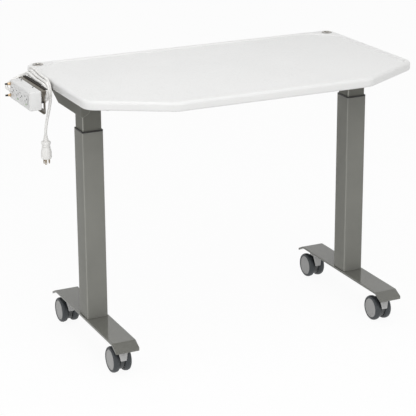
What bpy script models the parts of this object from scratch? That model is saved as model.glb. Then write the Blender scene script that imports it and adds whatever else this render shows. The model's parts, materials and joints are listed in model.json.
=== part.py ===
"""Mobile instrument table: a dished top on two telescopic legs with twin-wheel casters and an outlet box.

Metres, +Z up, +X along the top, -Y to the front. Table coordinates have x = 0 on the table's middle
plane, y = 0 on the legs and z = 0 on the floor. One parent empty moves them to the part's own frame,
whose origin is under the middle of the whole object.
"""

import math

import bmesh
import bpy
import numpy as np
from mathutils import Matrix, Vector

# Clearance between pieces that touch or run on each other
GAP = 0.0003

# Work top: outline, moulded lip and dished surface
TOP_WIDTH = 1.016
TOP_REAR = 0.282
TOP_FRONT = 0.322
TOP_SIDE_FRONT = 0.197
TOP_FRONT_STRAIGHT = 0.591
TOP_HEIGHT = 0.794
TOP_THICKNESS = 0.026
TOP_REAR_RADIUS = 0.034
TOP_FRONT_RADIUS = 0.045
LIP_TOP_RADIUS = 0.009
LIP_BOTTOM_RADIUS = 0.005
LIP_WIDTH = 0.021
LIP_SLOPE = 0.010
DISH_DEPTH = 0.0045
DISH_CORNER_CUT = 0.066
DISH_CORNER_RADIUS = 0.026
CORNER_POINTS = 5

# Accessory rod sockets in the top's raised rear corners
SOCKET_FROM_SIDE = 0.030
SOCKET_FROM_REAR = 0.034
SOCKET_FLANGE_RADIUS = 0.0168
SOCKET_FLANGE_HEIGHT = 0.0018
SOCKET_BARREL_RADIUS = 0.0122
SOCKET_DEPTH = 0.0195
SOCKET_BORE_RADIUS = 0.0080
SOCKET_BORE_DEPTH = 0.0178

# Casters
LEG_FROM_SIDE = 0.0845
WHEEL_RADIUS = 0.0375
WHEEL_WIDTH = 0.0200
WHEEL_GAP = 0.0145
TYRE_SEAT_RADIUS = 0.0292
TYRE_SHOULDER = 0.0065
HUB_WALL = 0.0030
HUB_BOSS_RADIUS = 0.0075
HUB_FACE_SINK = 0.0016
HUB_FACE_WALL = 0.0022
AXLE_RADIUS = 0.0030
AXLE_IN_HUB = 0.0135
CASTER_SPACING = 0.403
CASTER_TRAIL = 0.021
CASTER_HEIGHT = 0.0975
HOOD_COLLAR_RADIUS = 0.0165
HOOD_NOSE_RADIUS = 0.0210
HOOD_NOSE_TOP_WIDTH = 0.0330
HOOD_NOSE_TIP_WIDTH = 0.0185
HOOD_NOSE_LOW = 0.0445
HOOD_WHEEL_CLEARANCE = 0.0012
HOOD_SIDE_CLEARANCE = 0.0010
STEM_FLANGE = 0.0030
STEM_PIN_RADIUS = 0.0040
STEM_PIN_LENGTH = 0.030
STEM_STUD_LENGTH = 0.0040

# Feet: one bent steel plate each
FOOT_WIDTH = 0.071
FOOT_PAST_CASTER = 0.02025
FOOT_THICKNESS = 0.006
FOOT_LIP_RUN = 0.0323
FOOT_LIP_DROP = 0.0165
FOOT_BEND_RADIUS = 0.014
FOOT_CORNER_RADIUS = 0.007

# Telescopic legs
OUTER_TUBE = 0.0635
OUTER_WALL = 0.0015
OUTER_RADIUS = 0.0045
INNER_SHOWING = 0.0406
INNER_TUBE = 0.057
INNER_WALL = 0.0020
INNER_RADIUS = 0.0040
INNER_IN_OUTER = 0.416
COLLAR_RIM = 0.0040
COLLAR_SLEEVE = 0.055
CYLINDER_RADIUS = 0.0150
CYLINDER_BORE = 0.0110
CYLINDER_LENGTH = 0.430
CYLINDER_FLOOR = 0.008
CYLINDER_CAP = 0.010
ROD_RADIUS = 0.0050
ROD_IN_CYLINDER = 0.360
ROD_HEAD_RADIUS = 0.0170
ROD_HEAD = 0.0050
PISTON_LENGTH = 0.014

# Arms under the top and the rail between them
ARM_WALL = 0.0030
ARM_DEPTH = 0.0672
ARM_LOW_REAR = 0.1507
ARM_REAR = 0.250
ARM_REAR_DEPTH = 0.0185
ARM_TONGUE_FRONT = 0.215
ARM_TAB_WIDTH = 0.025
ARM_TAB_RISE = 0.0100
ARM_INNER_SETBACK = 0.0150
RAIL_HEIGHT = 0.040
RAIL_WIDTH = 0.040
RAIL_WALL = 0.0020
RAIL_RADIUS = 0.0040

# Outlet box beside the top
BOX_DEPTH = 0.035
BOX_LENGTH = 0.1645
BOX_HEIGHT = 0.0535
BOX_FRONT = 0.0425
BOX_TOP_BELOW_RIM = 0.0010
BOX_EDGE_RADIUS = 0.0035
BOX_STANDOFF = 0.0070
BOX_BOSS_RADIUS = 0.0026
BOX_BOSS_SPACING = 0.1555
BOX_BOSS_HEIGHT = 0.0327
RECEPTACLE_LENGTH = 0.066
RECEPTACLE_HEIGHT = 0.033
RECEPTACLE_PITCH = 0.0683
RECEPTACLE_FIRST = 0.0489
RECEPTACLE_RADIUS = 0.0110
RECEPTACLE_DEPTH = 0.022
RECEPTACLE_PROUD = 0.0012
RECEPTACLE_ABOVE_MIDDLE = 0.0030
OUTLET_SPACING = 0.0389
SLOT_SPACING = 0.0127
SLOT_WIDTH = 0.0019
SLOT_LENGTH = 0.0080
SLOT_DEPTH = 0.0150
GROUND_OFFSET = 0.0119
GROUND_RADIUS = 0.0026
BREAKER_FROM_REAR = 0.0070
BREAKER_SPREAD = 0.0324
BREAKER_NUT_RADIUS = 0.0050
BREAKER_NUT = 0.0028
BREAKER_NECK_RADIUS = 0.0041
BREAKER_NECK = 0.0058
BREAKER_IN_BOX = 0.0080
BUTTON_RADIUS = 0.0026
BUTTON_PROUD = 0.0070
BUTTON_TRAVEL = 0.0030

# Bracket: one bent sheet from under the top to the back of the outlet box
BRACKET_SHEET = 0.0025
BRACKET_BEND = 0.0030
BRACKET_TAB_REACH = 0.046
BRACKET_RIM_CLEARANCE = 0.003
BRACKET_PLATE_FROM_RIM = 0.057
BRACKET_FLANGE = 0.0150
BRACKET_TOP_BELOW_RIM = 0.0079
BRACKET_PLATE_HEIGHT = 0.0556
BRACKET_LIP = 0.0065
BRACKET_PLATE_FRONT = 0.0445
BRACKET_FLANGE_FRONT = 0.0180
BRACKET_CORNER_DROP = 0.0240
BRACKET_REAR = 0.165
BRACKET_NECK_FRONT = 0.0560
BRACKET_NECK_REAR = 0.1370
BRACKET_STRAP = 0.0110
BRACKET_STRIP = 0.0082
BRACKET_WINDOW_REAR = 0.030

# Cord: wound round the bracket's neck, its free end hanging to the plug
CORD_RADIUS = 0.0041
CORD_LANES = 3
CORD_PITCH = 0.0101
CORD_FROM_FLANGE = 0.0113
CORD_LIFT_STEP = 0.0030
CORD_RISE = 0.0080
CORD_RISE_FROM = 0.085
CORD_RISE_TO = 0.190
CORD_TURN_RADIUS = 0.0245
CORD_FRONT = 0.012
CORD_FRONT_STEP = 0.009
CORD_REAR = 0.165
CORD_REAR_STEP = 0.020
CORD_SHIFT_FROM = 0.060
CORD_SHIFT_TO = 0.156
CORD_LEAD_DROP = 0.035
CORD_LEAD_TURN = 0.174
CORD_TAIL_START = 0.0795
CORD_TAIL_STRAIGHT = 0.0100
CORD_RUN_POINTS = 6
CORD_TURN_POINTS = 6
GLAND_RADIUS = 0.0072
GLAND_LENGTH = 0.020

# Grounded plug
PLUG_BLADE_THICKNESS = 0.0015
PLUG_BLADE_WIDTH = 0.0063
PLUG_BLADE_SPACING = 0.0127
PLUG_BLADE_OUT = 0.0150
PLUG_BLADE_IN = 0.0080
PLUG_BLADE_OFFSET = 0.0040
PLUG_PIN_RADIUS = 0.0024
PLUG_PIN_OFFSET = 0.0119

# Facets of a full turn
WHEEL_STEPS = 20
ROUND_STEPS = 20
SMALL_STEPS = 12

# Levels and places worked out from the dimensions above
HALF_TOP = TOP_WIDTH / 2
TOP_BOTTOM = TOP_HEIGHT - TOP_THICKNESS
UNDER_TOP = TOP_BOTTOM - GAP
LEG_X = HALF_TOP - LEG_FROM_SIDE
AXLE_Z = WHEEL_RADIUS
FOOT_FLAT = CASTER_SPACING + 2 * FOOT_PAST_CASTER
FOOT_TOP = CASTER_HEIGHT + FOOT_THICKNESS
TUBE_FOOT = FOOT_TOP + GAP
ARM_WEB_BOTTOM = UNDER_TOP - ARM_WALL
ARM_BOTTOM = UNDER_TOP - ARM_DEPTH
COLLAR_TOP = ARM_BOTTOM - INNER_SHOWING
OUTER_TOP = COLLAR_TOP - COLLAR_RIM - GAP
OUTER_LENGTH = OUTER_TOP - TUBE_FOOT
ARM_INSIDE = INNER_TUBE + 2 * GAP
ARM_WIDTH = ARM_INSIDE + 2 * ARM_WALL
INNER_TOP = ARM_WEB_BOTTOM - GAP
SOCKET_X = HALF_TOP - SOCKET_FROM_SIDE
SOCKET_Y = TOP_REAR - SOCKET_FROM_REAR
PLATE_X = -(HALF_TOP + BRACKET_PLATE_FROM_RIM)
BRACKET_TOP = TOP_HEIGHT - BRACKET_TOP_BELOW_RIM
BOX_BACK_X = PLATE_X - BOX_STANDOFF
BOX_FACE_X = BOX_BACK_X - BOX_DEPTH
BOX_TOP = TOP_HEIGHT - BOX_TOP_BELOW_RIM
BOX_MIDDLE_Z = BOX_TOP - BOX_HEIGHT / 2
BOX_REAR = BOX_LENGTH - BOX_FRONT
BOX_MIDDLE_Y = BOX_REAR - BOX_LENGTH / 2
BREAKER_Y = BOX_REAR - BREAKER_FROM_REAR
BREAKER_LEFT = BOX_FACE_X - BREAKER_NUT - BREAKER_NECK - BUTTON_PROUD
CORD_TOP = BRACKET_TOP + GAP + CORD_RADIUS
CORD_FIRST_X = PLATE_X + BRACKET_FLANGE + CORD_FROM_FLANGE
GLAND_X = BOX_FACE_X + GLAND_RADIUS + BOX_EDGE_RADIUS / 2
GLAND_Z = CORD_TOP - CORD_LEAD_DROP
PLUG_X = CORD_FIRST_X + 0.0015
PLUG_Y = 0.0360
PLUG_TOP = TOP_HEIGHT - 0.1503
PLUG_LENGTH = 0.0667

# The part's frame: origin on the floor under the middle of the object without its cord
OFFSET = Vector((-(BREAKER_LEFT + HALF_TOP) / 2, -(TOP_REAR - TOP_FRONT) / 2, 0.0))

SIDES = (("left", -1), ("right", 1))
ENDS = (("front", -1), ("rear", 1))


def clear_scene():
    for obj in list(bpy.data.objects):
        bpy.data.objects.remove(obj)


def collection(name):
    found = bpy.data.collections.new(name)
    bpy.context.scene.collection.children.link(found)
    return found


clear_scene()
TABLE = collection("instrument_table")
CUTTERS = collection("cutters")
ORIGIN = bpy.data.objects.new("table_origin", None)
ORIGIN.location = OFFSET
TABLE.objects.link(ORIGIN)


def linear(hex_colour):
    channels = [int(hex_colour[i : i + 2], 16) / 255 for i in (0, 2, 4)]
    return [c / 12.92 if c <= 0.04045 else ((c + 0.055) / 1.055) ** 2.4 for c in channels]


def material(name, hex_colour, roughness, metallic=0.0):
    made = bpy.data.materials.new(name)
    made.use_nodes = True
    shader = made.node_tree.nodes["Principled BSDF"]
    shader.inputs["Base Color"].default_value = (*linear(hex_colour), 1.0)
    shader.inputs["Roughness"].default_value = roughness
    shader.inputs["Metallic"].default_value = metallic
    return made


WHITE_MOULDING = material("white moulded plastic", "E6E6E5", 0.35)
GREY_PAINT = material("grey gloss paint", "73736C", 0.25)
DARK_PAINT = material("dark grey paint", "55544E", 0.35)
BLACK_PLASTIC = material("black plastic", "1E1D1B", 0.5)
TYRE_RUBBER = material("grey tyre rubber", "3F4446", 0.6)
HUB_PLASTIC = material("light grey hub plastic", "9A9A99", 0.4)
WHITE_PLASTIC = material("white plastic", "DEDEDD", 0.4)
CORD_VINYL = material("white cord vinyl", "E8E7E4", 0.45)
BRASS = material("brass", "B08F62", 0.3, 1.0)
STEEL = material("zinc plated steel", "B9B8B4", 0.3, 1.0)


# Shape helpers
def add(name, mesh, look, location=(0, 0, 0), rotation=(0, 0, 0), parent=ORIGIN, group=TABLE):
    obj = bpy.data.objects.new(name, mesh)
    obj.location = location
    obj.rotation_euler = rotation
    obj.parent = parent
    mesh.materials.clear()
    mesh.materials.append(look)
    group.objects.link(obj)
    return obj


def shade_round(mesh, angle=35):
    mesh.shade_smooth()
    mesh.set_sharp_from_angle(angle=math.radians(angle))


def baked(obj):
    """The evaluated mesh of an object, which is then removed with its cutters."""
    bpy.context.view_layer.update()
    mesh = bpy.data.meshes.new_from_object(obj.evaluated_get(bpy.context.evaluated_depsgraph_get()))
    cutters = [m.object for m in obj.modifiers if m.type == "BOOLEAN"]
    for spent in [obj, *cutters]:
        bpy.data.objects.remove(spent)
    return mesh


def boolean(obj, other, operation="DIFFERENCE"):
    other.hide_render = True
    other.display_type = "WIRE"
    for group in list(other.users_collection):
        group.objects.unlink(other)
    CUTTERS.objects.link(other)
    step = obj.modifiers.new(operation.lower(), "BOOLEAN")
    step.operation = operation
    step.solver = "EXACT"
    step.object = other


def bevel(obj, width, segments=2, angle=40):
    step = obj.modifiers.new("bevel", "BEVEL")
    step.width = width
    step.segments = segments
    step.limit_method = "ANGLE"
    step.angle_limit = math.radians(angle)


def box_mesh(size):
    shape = bmesh.new()
    bmesh.ops.create_cube(shape, size=1.0)
    bmesh.ops.scale(shape, vec=Vector(size), verts=shape.verts)
    mesh = bpy.data.meshes.new("box")
    shape.to_mesh(mesh)
    shape.free()
    return mesh


def cone_mesh(low_radius, high_radius, length, steps, axis="Z"):
    """A cylinder or cone about its middle, along one axis."""
    shape = bmesh.new()
    turns = {
        "X": Matrix.Rotation(math.pi / 2, 4, "Y"),
        "Y": Matrix.Rotation(-math.pi / 2, 4, "X"),
        "Z": Matrix(),
    }
    bmesh.ops.create_cone(
        shape,
        cap_ends=True,
        segments=steps,
        radius1=low_radius,
        radius2=high_radius,
        depth=length,
        matrix=turns[axis],
    )
    mesh = bpy.data.meshes.new("cone")
    shape.to_mesh(mesh)
    shape.free()
    return mesh


def fillet(before, corner, after, radius, points):
    """Points of the arc that rounds one corner of an outline."""
    corner = np.array(corner, float)
    inward = np.array(before, float) - corner
    outward = np.array(after, float) - corner
    inward /= np.linalg.norm(inward)
    outward /= np.linalg.norm(outward)
    half = math.acos(max(-1.0, min(1.0, float(inward @ outward)))) / 2
    middle = inward + outward
    centre = corner + middle / np.linalg.norm(middle) * radius / math.sin(half)
    start = corner + inward * radius / math.tan(half) - centre
    end = corner + outward * radius / math.tan(half) - centre
    span = math.pi - 2 * half
    return [
        tuple(centre + (start * math.sin(span * (1 - t)) + end * math.sin(span * t)) / math.sin(span))
        for t in np.linspace(0, 1, points)
    ]


def rounded(corners, radius, points=4):
    """A closed outline with every corner rounded alike."""
    return [
        place
        for before, corner, after in zip(corners[-1:] + corners[:-1], corners, corners[1:] + corners[:1])
        for place in fillet(before, corner, after, radius, points)
    ]


def rectangle(width, height, middle=(0, 0)):
    u, v = middle
    return [
        (u + side * width / 2, v + rise * height / 2)
        for side, rise in ((1, 1), (-1, 1), (-1, -1), (1, -1))
    ]


def rounded_path(corners, radius, points=4):
    """An open line with its inner corners rounded."""
    bends = [
        place
        for before, corner, after in zip(corners, corners[1:], corners[2:])
        for place in fillet(before, corner, after, radius, points)
    ]
    return [corners[0], *bends, corners[-1]]


def sheet_outline(path, thickness):
    """The closed edge outline of a bent sheet that lies to the left of a path."""
    path = np.array(path, float)
    along = np.diff(path, axis=0)
    along /= np.linalg.norm(along, axis=1)[:, None]
    left = np.stack([-along[:, 1], along[:, 0]], axis=1)
    before = np.vstack([left[:1], left])
    after = np.vstack([left, left[-1:]])
    miter = (before + after) / (1 + (before * after).sum(axis=1))[:, None]
    return [tuple(place) for place in path] + [tuple(place) for place in (path + miter * thickness)[::-1]]


PLANES = {
    "X": Matrix(((0, 0, 1, 0), (1, 0, 0, 0), (0, 1, 0, 0), (0, 0, 0, 1))),
    "Y": Matrix(((1, 0, 0, 0), (0, 0, -1, 0), (0, 1, 0, 0), (0, 0, 0, 1))),
    "Z": Matrix(),
}


def extruded_mesh(outlines, depth, axis):
    """Flat outlines, holes among them, extruded both ways along one axis of the table."""
    curve = bpy.data.curves.new("outline", "CURVE")
    curve.dimensions = "2D"
    curve.fill_mode = "BOTH"
    curve.extrude = depth / 2
    for outline in outlines:
        spline = curve.splines.new("POLY")
        spline.points.add(len(outline) - 1)
        for point, (u, v) in zip(spline.points, outline):
            point.co = (u, v, 0, 1)
        spline.use_cyclic_u = True
    carrier = bpy.data.objects.new("outline", curve)
    CUTTERS.objects.link(carrier)
    bpy.context.view_layer.update()
    mesh = bpy.data.meshes.new_from_object(carrier.evaluated_get(bpy.context.evaluated_depsgraph_get()))
    bpy.data.objects.remove(carrier)
    shape = bmesh.new()
    shape.from_mesh(mesh)
    bmesh.ops.remove_doubles(shape, verts=shape.verts, dist=1e-6)
    bmesh.ops.recalc_face_normals(shape, faces=shape.faces)
    shape.to_mesh(mesh)
    shape.free()
    mesh.transform(PLANES[axis])
    return mesh


def turned_mesh(profile, steps, closed=False):
    """A profile of (radius, height) points, run down its outer side, turned about Z."""
    mesh = bpy.data.meshes.new("turned")
    count = len(profile)
    edges = [(i, i + 1) for i in range(count - 1)]
    if closed:
        edges.append((count - 1, 0))
    mesh.from_pydata([(r, 0, z) for r, z in profile], edges, [])
    carrier = bpy.data.objects.new("turned", mesh)
    CUTTERS.objects.link(carrier)
    screw = carrier.modifiers.new("screw", "SCREW")
    screw.steps = steps
    screw.render_steps = steps
    screw.use_merge_vertices = True
    screw.merge_threshold = 1e-5
    result = baked(carrier)
    shade_round(result)
    return result


def tube_curve(name, points, radius, resolution):
    """A round cord along points, as a curve with filled ends."""
    curve = bpy.data.curves.new(name, "CURVE")
    curve.dimensions = "3D"
    curve.bevel_depth = radius
    curve.bevel_resolution = resolution
    curve.use_fill_caps = True
    curve.twist_mode = "MINIMUM"
    spline = curve.splines.new("POLY")
    spline.points.add(len(points) - 1)
    for point, place in zip(spline.points, points):
        point.co = (*place, 1)
    curve.materials.append(CORD_VINYL)
    obj = bpy.data.objects.new(name, curve)
    obj.parent = ORIGIN
    TABLE.objects.link(obj)
    return obj


# Work top
def inset_corners(corners, inset):
    """A convex outline's corners after each side, counter-clockwise, moves inwards."""
    corners = np.array(corners, float)
    along = np.roll(corners, -1, axis=0) - corners
    along /= np.linalg.norm(along, axis=1)[:, None]
    inward = np.stack([-along[:, 1], along[:, 0]], axis=1)
    moved = []
    for i in range(len(corners)):
        rows = np.stack([inward[i - 1], inward[i]])
        reach = np.array([inward[i - 1] @ corners[i], inward[i] @ corners[i]]) + inset
        moved.append(tuple(np.linalg.solve(rows, reach)))
    return moved


def top_corners():
    front = TOP_FRONT_STRAIGHT / 2
    return [
        (HALF_TOP, TOP_REAR),
        (-HALF_TOP, TOP_REAR),
        (-HALF_TOP, -TOP_SIDE_FRONT),
        (-front, -TOP_FRONT),
        (front, -TOP_FRONT),
        (HALF_TOP, -TOP_SIDE_FRONT),
    ]


def dish_corners():
    """The dish's floor outline: the top's, moved in by the lip, with its rear corners cut off."""
    right, left, *front = inset_corners(top_corners(), LIP_WIDTH)
    cut = DISH_CORNER_CUT
    return [
        (right[0], right[1] - cut),
        (right[0] - cut, right[1]),
        (left[0] + cut, left[1]),
        (left[0], left[1] - cut),
        *front,
    ]


def loop_points(corners, radii, counts):
    ring = []
    for i, corner in enumerate(corners):
        ring += fillet(corners[i - 1], corner, corners[(i + 1) % len(corners)], radii[i], counts[i])
    return ring


def outer_loop(inset):
    radii = [TOP_REAR_RADIUS] * 2 + [TOP_FRONT_RADIUS] * 4
    counts = [2 * CORNER_POINTS] * 2 + [CORNER_POINTS] * 4
    return loop_points(inset_corners(top_corners(), inset), [r - inset for r in radii], counts)


def dish_loop(inset):
    radii = [DISH_CORNER_RADIUS] * 4 + [TOP_FRONT_RADIUS - LIP_WIDTH] * 4
    return loop_points(inset_corners(dish_corners(), inset), [r - inset for r in radii], [CORNER_POINTS] * 8)


def top_sections():
    """(loop, height) from the underside, round the rim and over the lip to the dish's floor."""
    sections = []
    for angle in np.radians((0, 45, 90)):
        inset = LIP_BOTTOM_RADIUS * (1 - math.sin(angle))
        sections.append((outer_loop(inset), TOP_BOTTOM + LIP_BOTTOM_RADIUS * (1 - math.cos(angle))))
    for angle in np.radians((0, 30, 60, 90)):
        inset = LIP_TOP_RADIUS * (1 - math.cos(angle))
        sections.append((outer_loop(inset), TOP_HEIGHT - LIP_TOP_RADIUS * (1 - math.sin(angle))))
    for t in (0, 0.25, 0.5, 0.75, 1):
        fall = DISH_DEPTH * (1 - math.cos(math.pi * t)) / 2
        sections.append((dish_loop(-LIP_SLOPE * (1 - t)), TOP_HEIGHT - fall))
    return sections


def work_top():
    shape = bmesh.new()
    rings = [[shape.verts.new((x, y, z)) for x, y in loop] for loop, z in top_sections()]
    for low, high in zip(rings, rings[1:]):
        for i in range(len(low)):
            j = (i + 1) % len(low)
            shape.faces.new((low[i], low[j], high[j], high[i]))
    shape.faces.new(rings[0][::-1])
    shape.faces.new(rings[-1])
    mesh = bpy.data.meshes.new("work_top")
    shape.to_mesh(mesh)
    shape.free()
    shade_round(mesh, 30)
    top = add("work_top", mesh, WHITE_MOULDING)
    for _, sign in SIDES:
        hole_depth = SOCKET_DEPTH + GAP
        hole = cone_mesh(SOCKET_BARREL_RADIUS + GAP, SOCKET_BARREL_RADIUS + GAP, 2 * hole_depth, ROUND_STEPS)
        boolean(top, add("socket_hole", hole, STEEL, (sign * SOCKET_X, SOCKET_Y, TOP_HEIGHT)))


def rod_sockets():
    rim = SOCKET_FLANGE_HEIGHT + GAP
    mesh = turned_mesh(
        [
            (SOCKET_BORE_RADIUS + rim / 2, rim),
            (SOCKET_FLANGE_RADIUS - rim / 2, rim),
            (SOCKET_FLANGE_RADIUS, rim / 2),
            (SOCKET_FLANGE_RADIUS, GAP),
            (SOCKET_BARREL_RADIUS, GAP),
            (SOCKET_BARREL_RADIUS, -SOCKET_DEPTH),
            (0, -SOCKET_DEPTH),
            (0, -SOCKET_BORE_DEPTH),
            (SOCKET_BORE_RADIUS, -SOCKET_BORE_DEPTH),
            (SOCKET_BORE_RADIUS, rim / 2),
        ],
        ROUND_STEPS,
        closed=True,
    )
    for side, sign in SIDES:
        add(f"rod_socket_{side}", mesh, STEEL, (sign * SOCKET_X, SOCKET_Y, TOP_HEIGHT))


# Legs
def square_tube_mesh(size, wall, radius, length, axis="Z", height=None):
    height = height or size
    outer = rounded(rectangle(size, height), radius)
    inner = rounded(rectangle(size - 2 * wall, height - 2 * wall), radius - wall)
    return extruded_mesh([outer, inner], length, axis)


def legs():
    outer = square_tube_mesh(OUTER_TUBE, OUTER_WALL, OUTER_RADIUS, OUTER_LENGTH)
    inner_low = COLLAR_TOP - INNER_IN_OUTER
    inner = square_tube_mesh(INNER_TUBE, INNER_WALL, INNER_RADIUS, INNER_TOP - inner_low)
    shade_round(outer)
    shade_round(inner)
    collar = collar_mesh()
    cylinder = turned_mesh(cylinder_profile(), SMALL_STEPS, closed=True)
    rod = turned_mesh(rod_profile(), SMALL_STEPS)
    for side, sign in SIDES:
        x = sign * LEG_X
        add(f"outer_tube_{side}", outer, GREY_PAINT, (x, 0, TUBE_FOOT + OUTER_LENGTH / 2))
        add(f"inner_tube_{side}", inner, GREY_PAINT, (x, 0, (inner_low + INNER_TOP) / 2))
        add(f"collar_{side}", collar, BLACK_PLASTIC, (x, 0, OUTER_TOP + GAP))
        add(f"lift_cylinder_{side}", cylinder, STEEL, (x, 0, TUBE_FOOT))
        add(f"lift_rod_{side}", rod, STEEL, (x, 0, INNER_TOP))


def collar_mesh():
    """A rim that caps the outer tube, and a thin sleeve that guides the inner tube inside it."""
    bore = INNER_TUBE + 2 * GAP
    bore_outline = rounded(rectangle(bore, bore), INNER_RADIUS + GAP)
    rim_outline = rounded(rectangle(OUTER_TUBE, OUTER_TUBE), OUTER_RADIUS)
    inside = OUTER_TUBE - 2 * (OUTER_WALL + GAP)
    sleeve_outline = rounded(rectangle(inside, inside), OUTER_RADIUS - OUTER_WALL)
    rim = add("collar_rim", extruded_mesh([rim_outline, bore_outline], COLLAR_RIM, "Z"), BLACK_PLASTIC)
    rim.location.z = COLLAR_RIM / 2
    length = COLLAR_SLEEVE + COLLAR_RIM
    boolean(
        rim,
        add(
            "collar_sleeve",
            extruded_mesh([sleeve_outline, bore_outline], length, "Z"),
            BLACK_PLASTIC,
            (0, 0, COLLAR_RIM - length / 2),
        ),
        "UNION",
    )
    mesh = baked(rim)
    mesh.transform(Matrix.Translation((0, 0, COLLAR_RIM / 2)))
    return mesh


def cylinder_profile():
    neck = ROD_RADIUS + GAP
    return [
        (neck, CYLINDER_LENGTH),
        (CYLINDER_RADIUS - 0.002, CYLINDER_LENGTH),
        (CYLINDER_RADIUS, CYLINDER_LENGTH - 0.002),
        (CYLINDER_RADIUS, 0),
        (0, 0),
        (0, CYLINDER_FLOOR),
        (CYLINDER_BORE, CYLINDER_FLOOR),
        (CYLINDER_BORE, CYLINDER_LENGTH - CYLINDER_CAP),
        (neck, CYLINDER_LENGTH - CYLINDER_CAP),
    ]


def rod_profile():
    """Heights from the rod's head down to its piston inside the lift cylinder."""
    foot = TUBE_FOOT + CYLINDER_LENGTH - ROD_IN_CYLINDER - INNER_TOP
    piston = CYLINDER_BORE - GAP
    return [
        (0, 0),
        (ROD_HEAD_RADIUS, 0),
        (ROD_HEAD_RADIUS, -ROD_HEAD),
        (ROD_RADIUS, -ROD_HEAD),
        (ROD_RADIUS, foot + PISTON_LENGTH),
        (piston, foot + PISTON_LENGTH),
        (piston, foot),
        (0, foot),
    ]


def feet():
    flat, run = FOOT_FLAT / 2, FOOT_LIP_RUN
    path = rounded_path(
        [
            (flat + run, FOOT_TOP - FOOT_LIP_DROP),
            (flat, FOOT_TOP),
            (-flat, FOOT_TOP),
            (-flat - run, FOOT_TOP - FOOT_LIP_DROP),
        ],
        FOOT_BEND_RADIUS,
    )
    plan = rounded(rectangle(FOOT_WIDTH, FOOT_FLAT + 2 * run), FOOT_CORNER_RADIUS)
    for side, sign in SIDES:
        x = sign * LEG_X
        bent = extruded_mesh([sheet_outline(path, FOOT_THICKNESS)], 2 * FOOT_WIDTH, "X")
        plate = add(f"foot_{side}", bent, GREY_PAINT, (x, 0, 0))
        trim = add("foot_plan", extruded_mesh([plan], 4 * FOOT_TOP, "Z"), GREY_PAINT, (x, 0, 0))
        boolean(plate, trim, "INTERSECT")
        for _, end in ENDS:
            depth = 2 * (STEM_STUD_LENGTH + GAP)
            hole = cone_mesh(STEM_PIN_RADIUS + GAP, STEM_PIN_RADIUS + GAP, depth, SMALL_STEPS)
            boolean(plate, add("stud_hole", hole, STEEL, (x, end * CASTER_SPACING / 2, CASTER_HEIGHT)))


# Casters
def nose_mesh(top):
    """The hood's front shield: round about the swivel axis, tapering downwards as seen from the front."""
    wide, tip = HOOD_NOSE_TOP_WIDTH / 2, HOOD_NOSE_TIP_WIDTH / 2
    taper = [(wide, top), (-wide, top), (-tip, HOOD_NOSE_LOW), (tip, HOOD_NOSE_LOW)]
    back, front = HOOD_NOSE_RADIUS / 4, 2 * HOOD_NOSE_RADIUS
    middle = -(back + front) / 2
    nose = add("nose_taper", extruded_mesh([taper], front - back, "Y"), HUB_PLASTIC, (0, middle, 0))
    round_front = cone_mesh(HOOD_NOSE_RADIUS, HOOD_NOSE_RADIUS, 3 * top, 2 * ROUND_STEPS)
    boolean(nose, add("nose_round", round_front, HUB_PLASTIC), "INTERSECT")
    mesh = baked(nose)
    mesh.transform(Matrix.Translation((0, middle, 0)))
    return mesh


def hood_mesh():
    """Hood in its own place: swivel axis at the origin, floor at z = 0, axle trailing to +Y."""
    web_half = WHEEL_GAP / 2 - HOOD_SIDE_CLEARANCE
    collar_low = AXLE_Z + WHEEL_RADIUS + 2 * HOOD_WHEEL_CLEARANCE
    collar_high = CASTER_HEIGHT - STEM_FLANGE - 2 * GAP
    tail = CASTER_TRAIL + 0.0125
    web = rounded(
        [
            (-HOOD_COLLAR_RADIUS + 0.002, collar_low + 0.004),
            (-HOOD_COLLAR_RADIUS + 0.004, AXLE_Z + 0.004),
            (CASTER_TRAIL - 0.009, AXLE_Z - 0.0115),
            (tail, AXLE_Z - 0.0115),
            (tail, AXLE_Z + 0.024),
            (HOOD_COLLAR_RADIUS, collar_low + 0.004),
        ],
        0.0035,
    )
    hood = add("hood", extruded_mesh([web], 2 * web_half, "X"), HUB_PLASTIC)
    height = collar_high - collar_low
    collar = cone_mesh(HOOD_COLLAR_RADIUS, HOOD_COLLAR_RADIUS, height, ROUND_STEPS)
    boolean(hood, add("hood_collar", collar, HUB_PLASTIC, (0, 0, collar_low + height / 2)), "UNION")
    boolean(hood, add("hood_nose", nose_mesh(collar_low + 0.003), HUB_PLASTIC), "UNION")
    clear = WHEEL_RADIUS + HOOD_WHEEL_CLEARANCE
    for _, sign in SIDES:
        room = cone_mesh(clear, clear, 2 * WHEEL_WIDTH, 2 * WHEEL_STEPS, "X")
        x = sign * (web_half + GAP / 2 + WHEEL_WIDTH)
        boolean(hood, add("wheel_room", room, STEEL, (x, CASTER_TRAIL, AXLE_Z)))
    pin_low = CASTER_HEIGHT - STEM_FLANGE - STEM_PIN_LENGTH - 2 * GAP
    pin = cone_mesh(STEM_PIN_RADIUS + GAP, STEM_PIN_RADIUS + GAP, 2 * (collar_high - pin_low), SMALL_STEPS)
    boolean(hood, add("pin_bore", pin, STEEL, (0, 0, collar_high)))
    axle = cone_mesh(AXLE_RADIUS + GAP, AXLE_RADIUS + GAP, 4 * web_half, SMALL_STEPS, "X")
    boolean(hood, add("axle_bore", axle, STEEL, (0, CASTER_TRAIL, AXLE_Z)))
    mesh = baked(hood)
    shade_round(mesh)
    return mesh


def stem_profile():
    """Heights from the plate's underside: a stud up into the plate, a flange, and the swivel pin."""
    flange = -GAP - STEM_FLANGE
    return [
        (0, STEM_STUD_LENGTH),
        (STEM_PIN_RADIUS, STEM_STUD_LENGTH),
        (STEM_PIN_RADIUS, -GAP),
        (HOOD_COLLAR_RADIUS, -GAP),
        (HOOD_COLLAR_RADIUS, flange),
        (STEM_PIN_RADIUS, flange),
        (STEM_PIN_RADIUS, flange - STEM_PIN_LENGTH),
        (0, flange - STEM_PIN_LENGTH),
    ]


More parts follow.
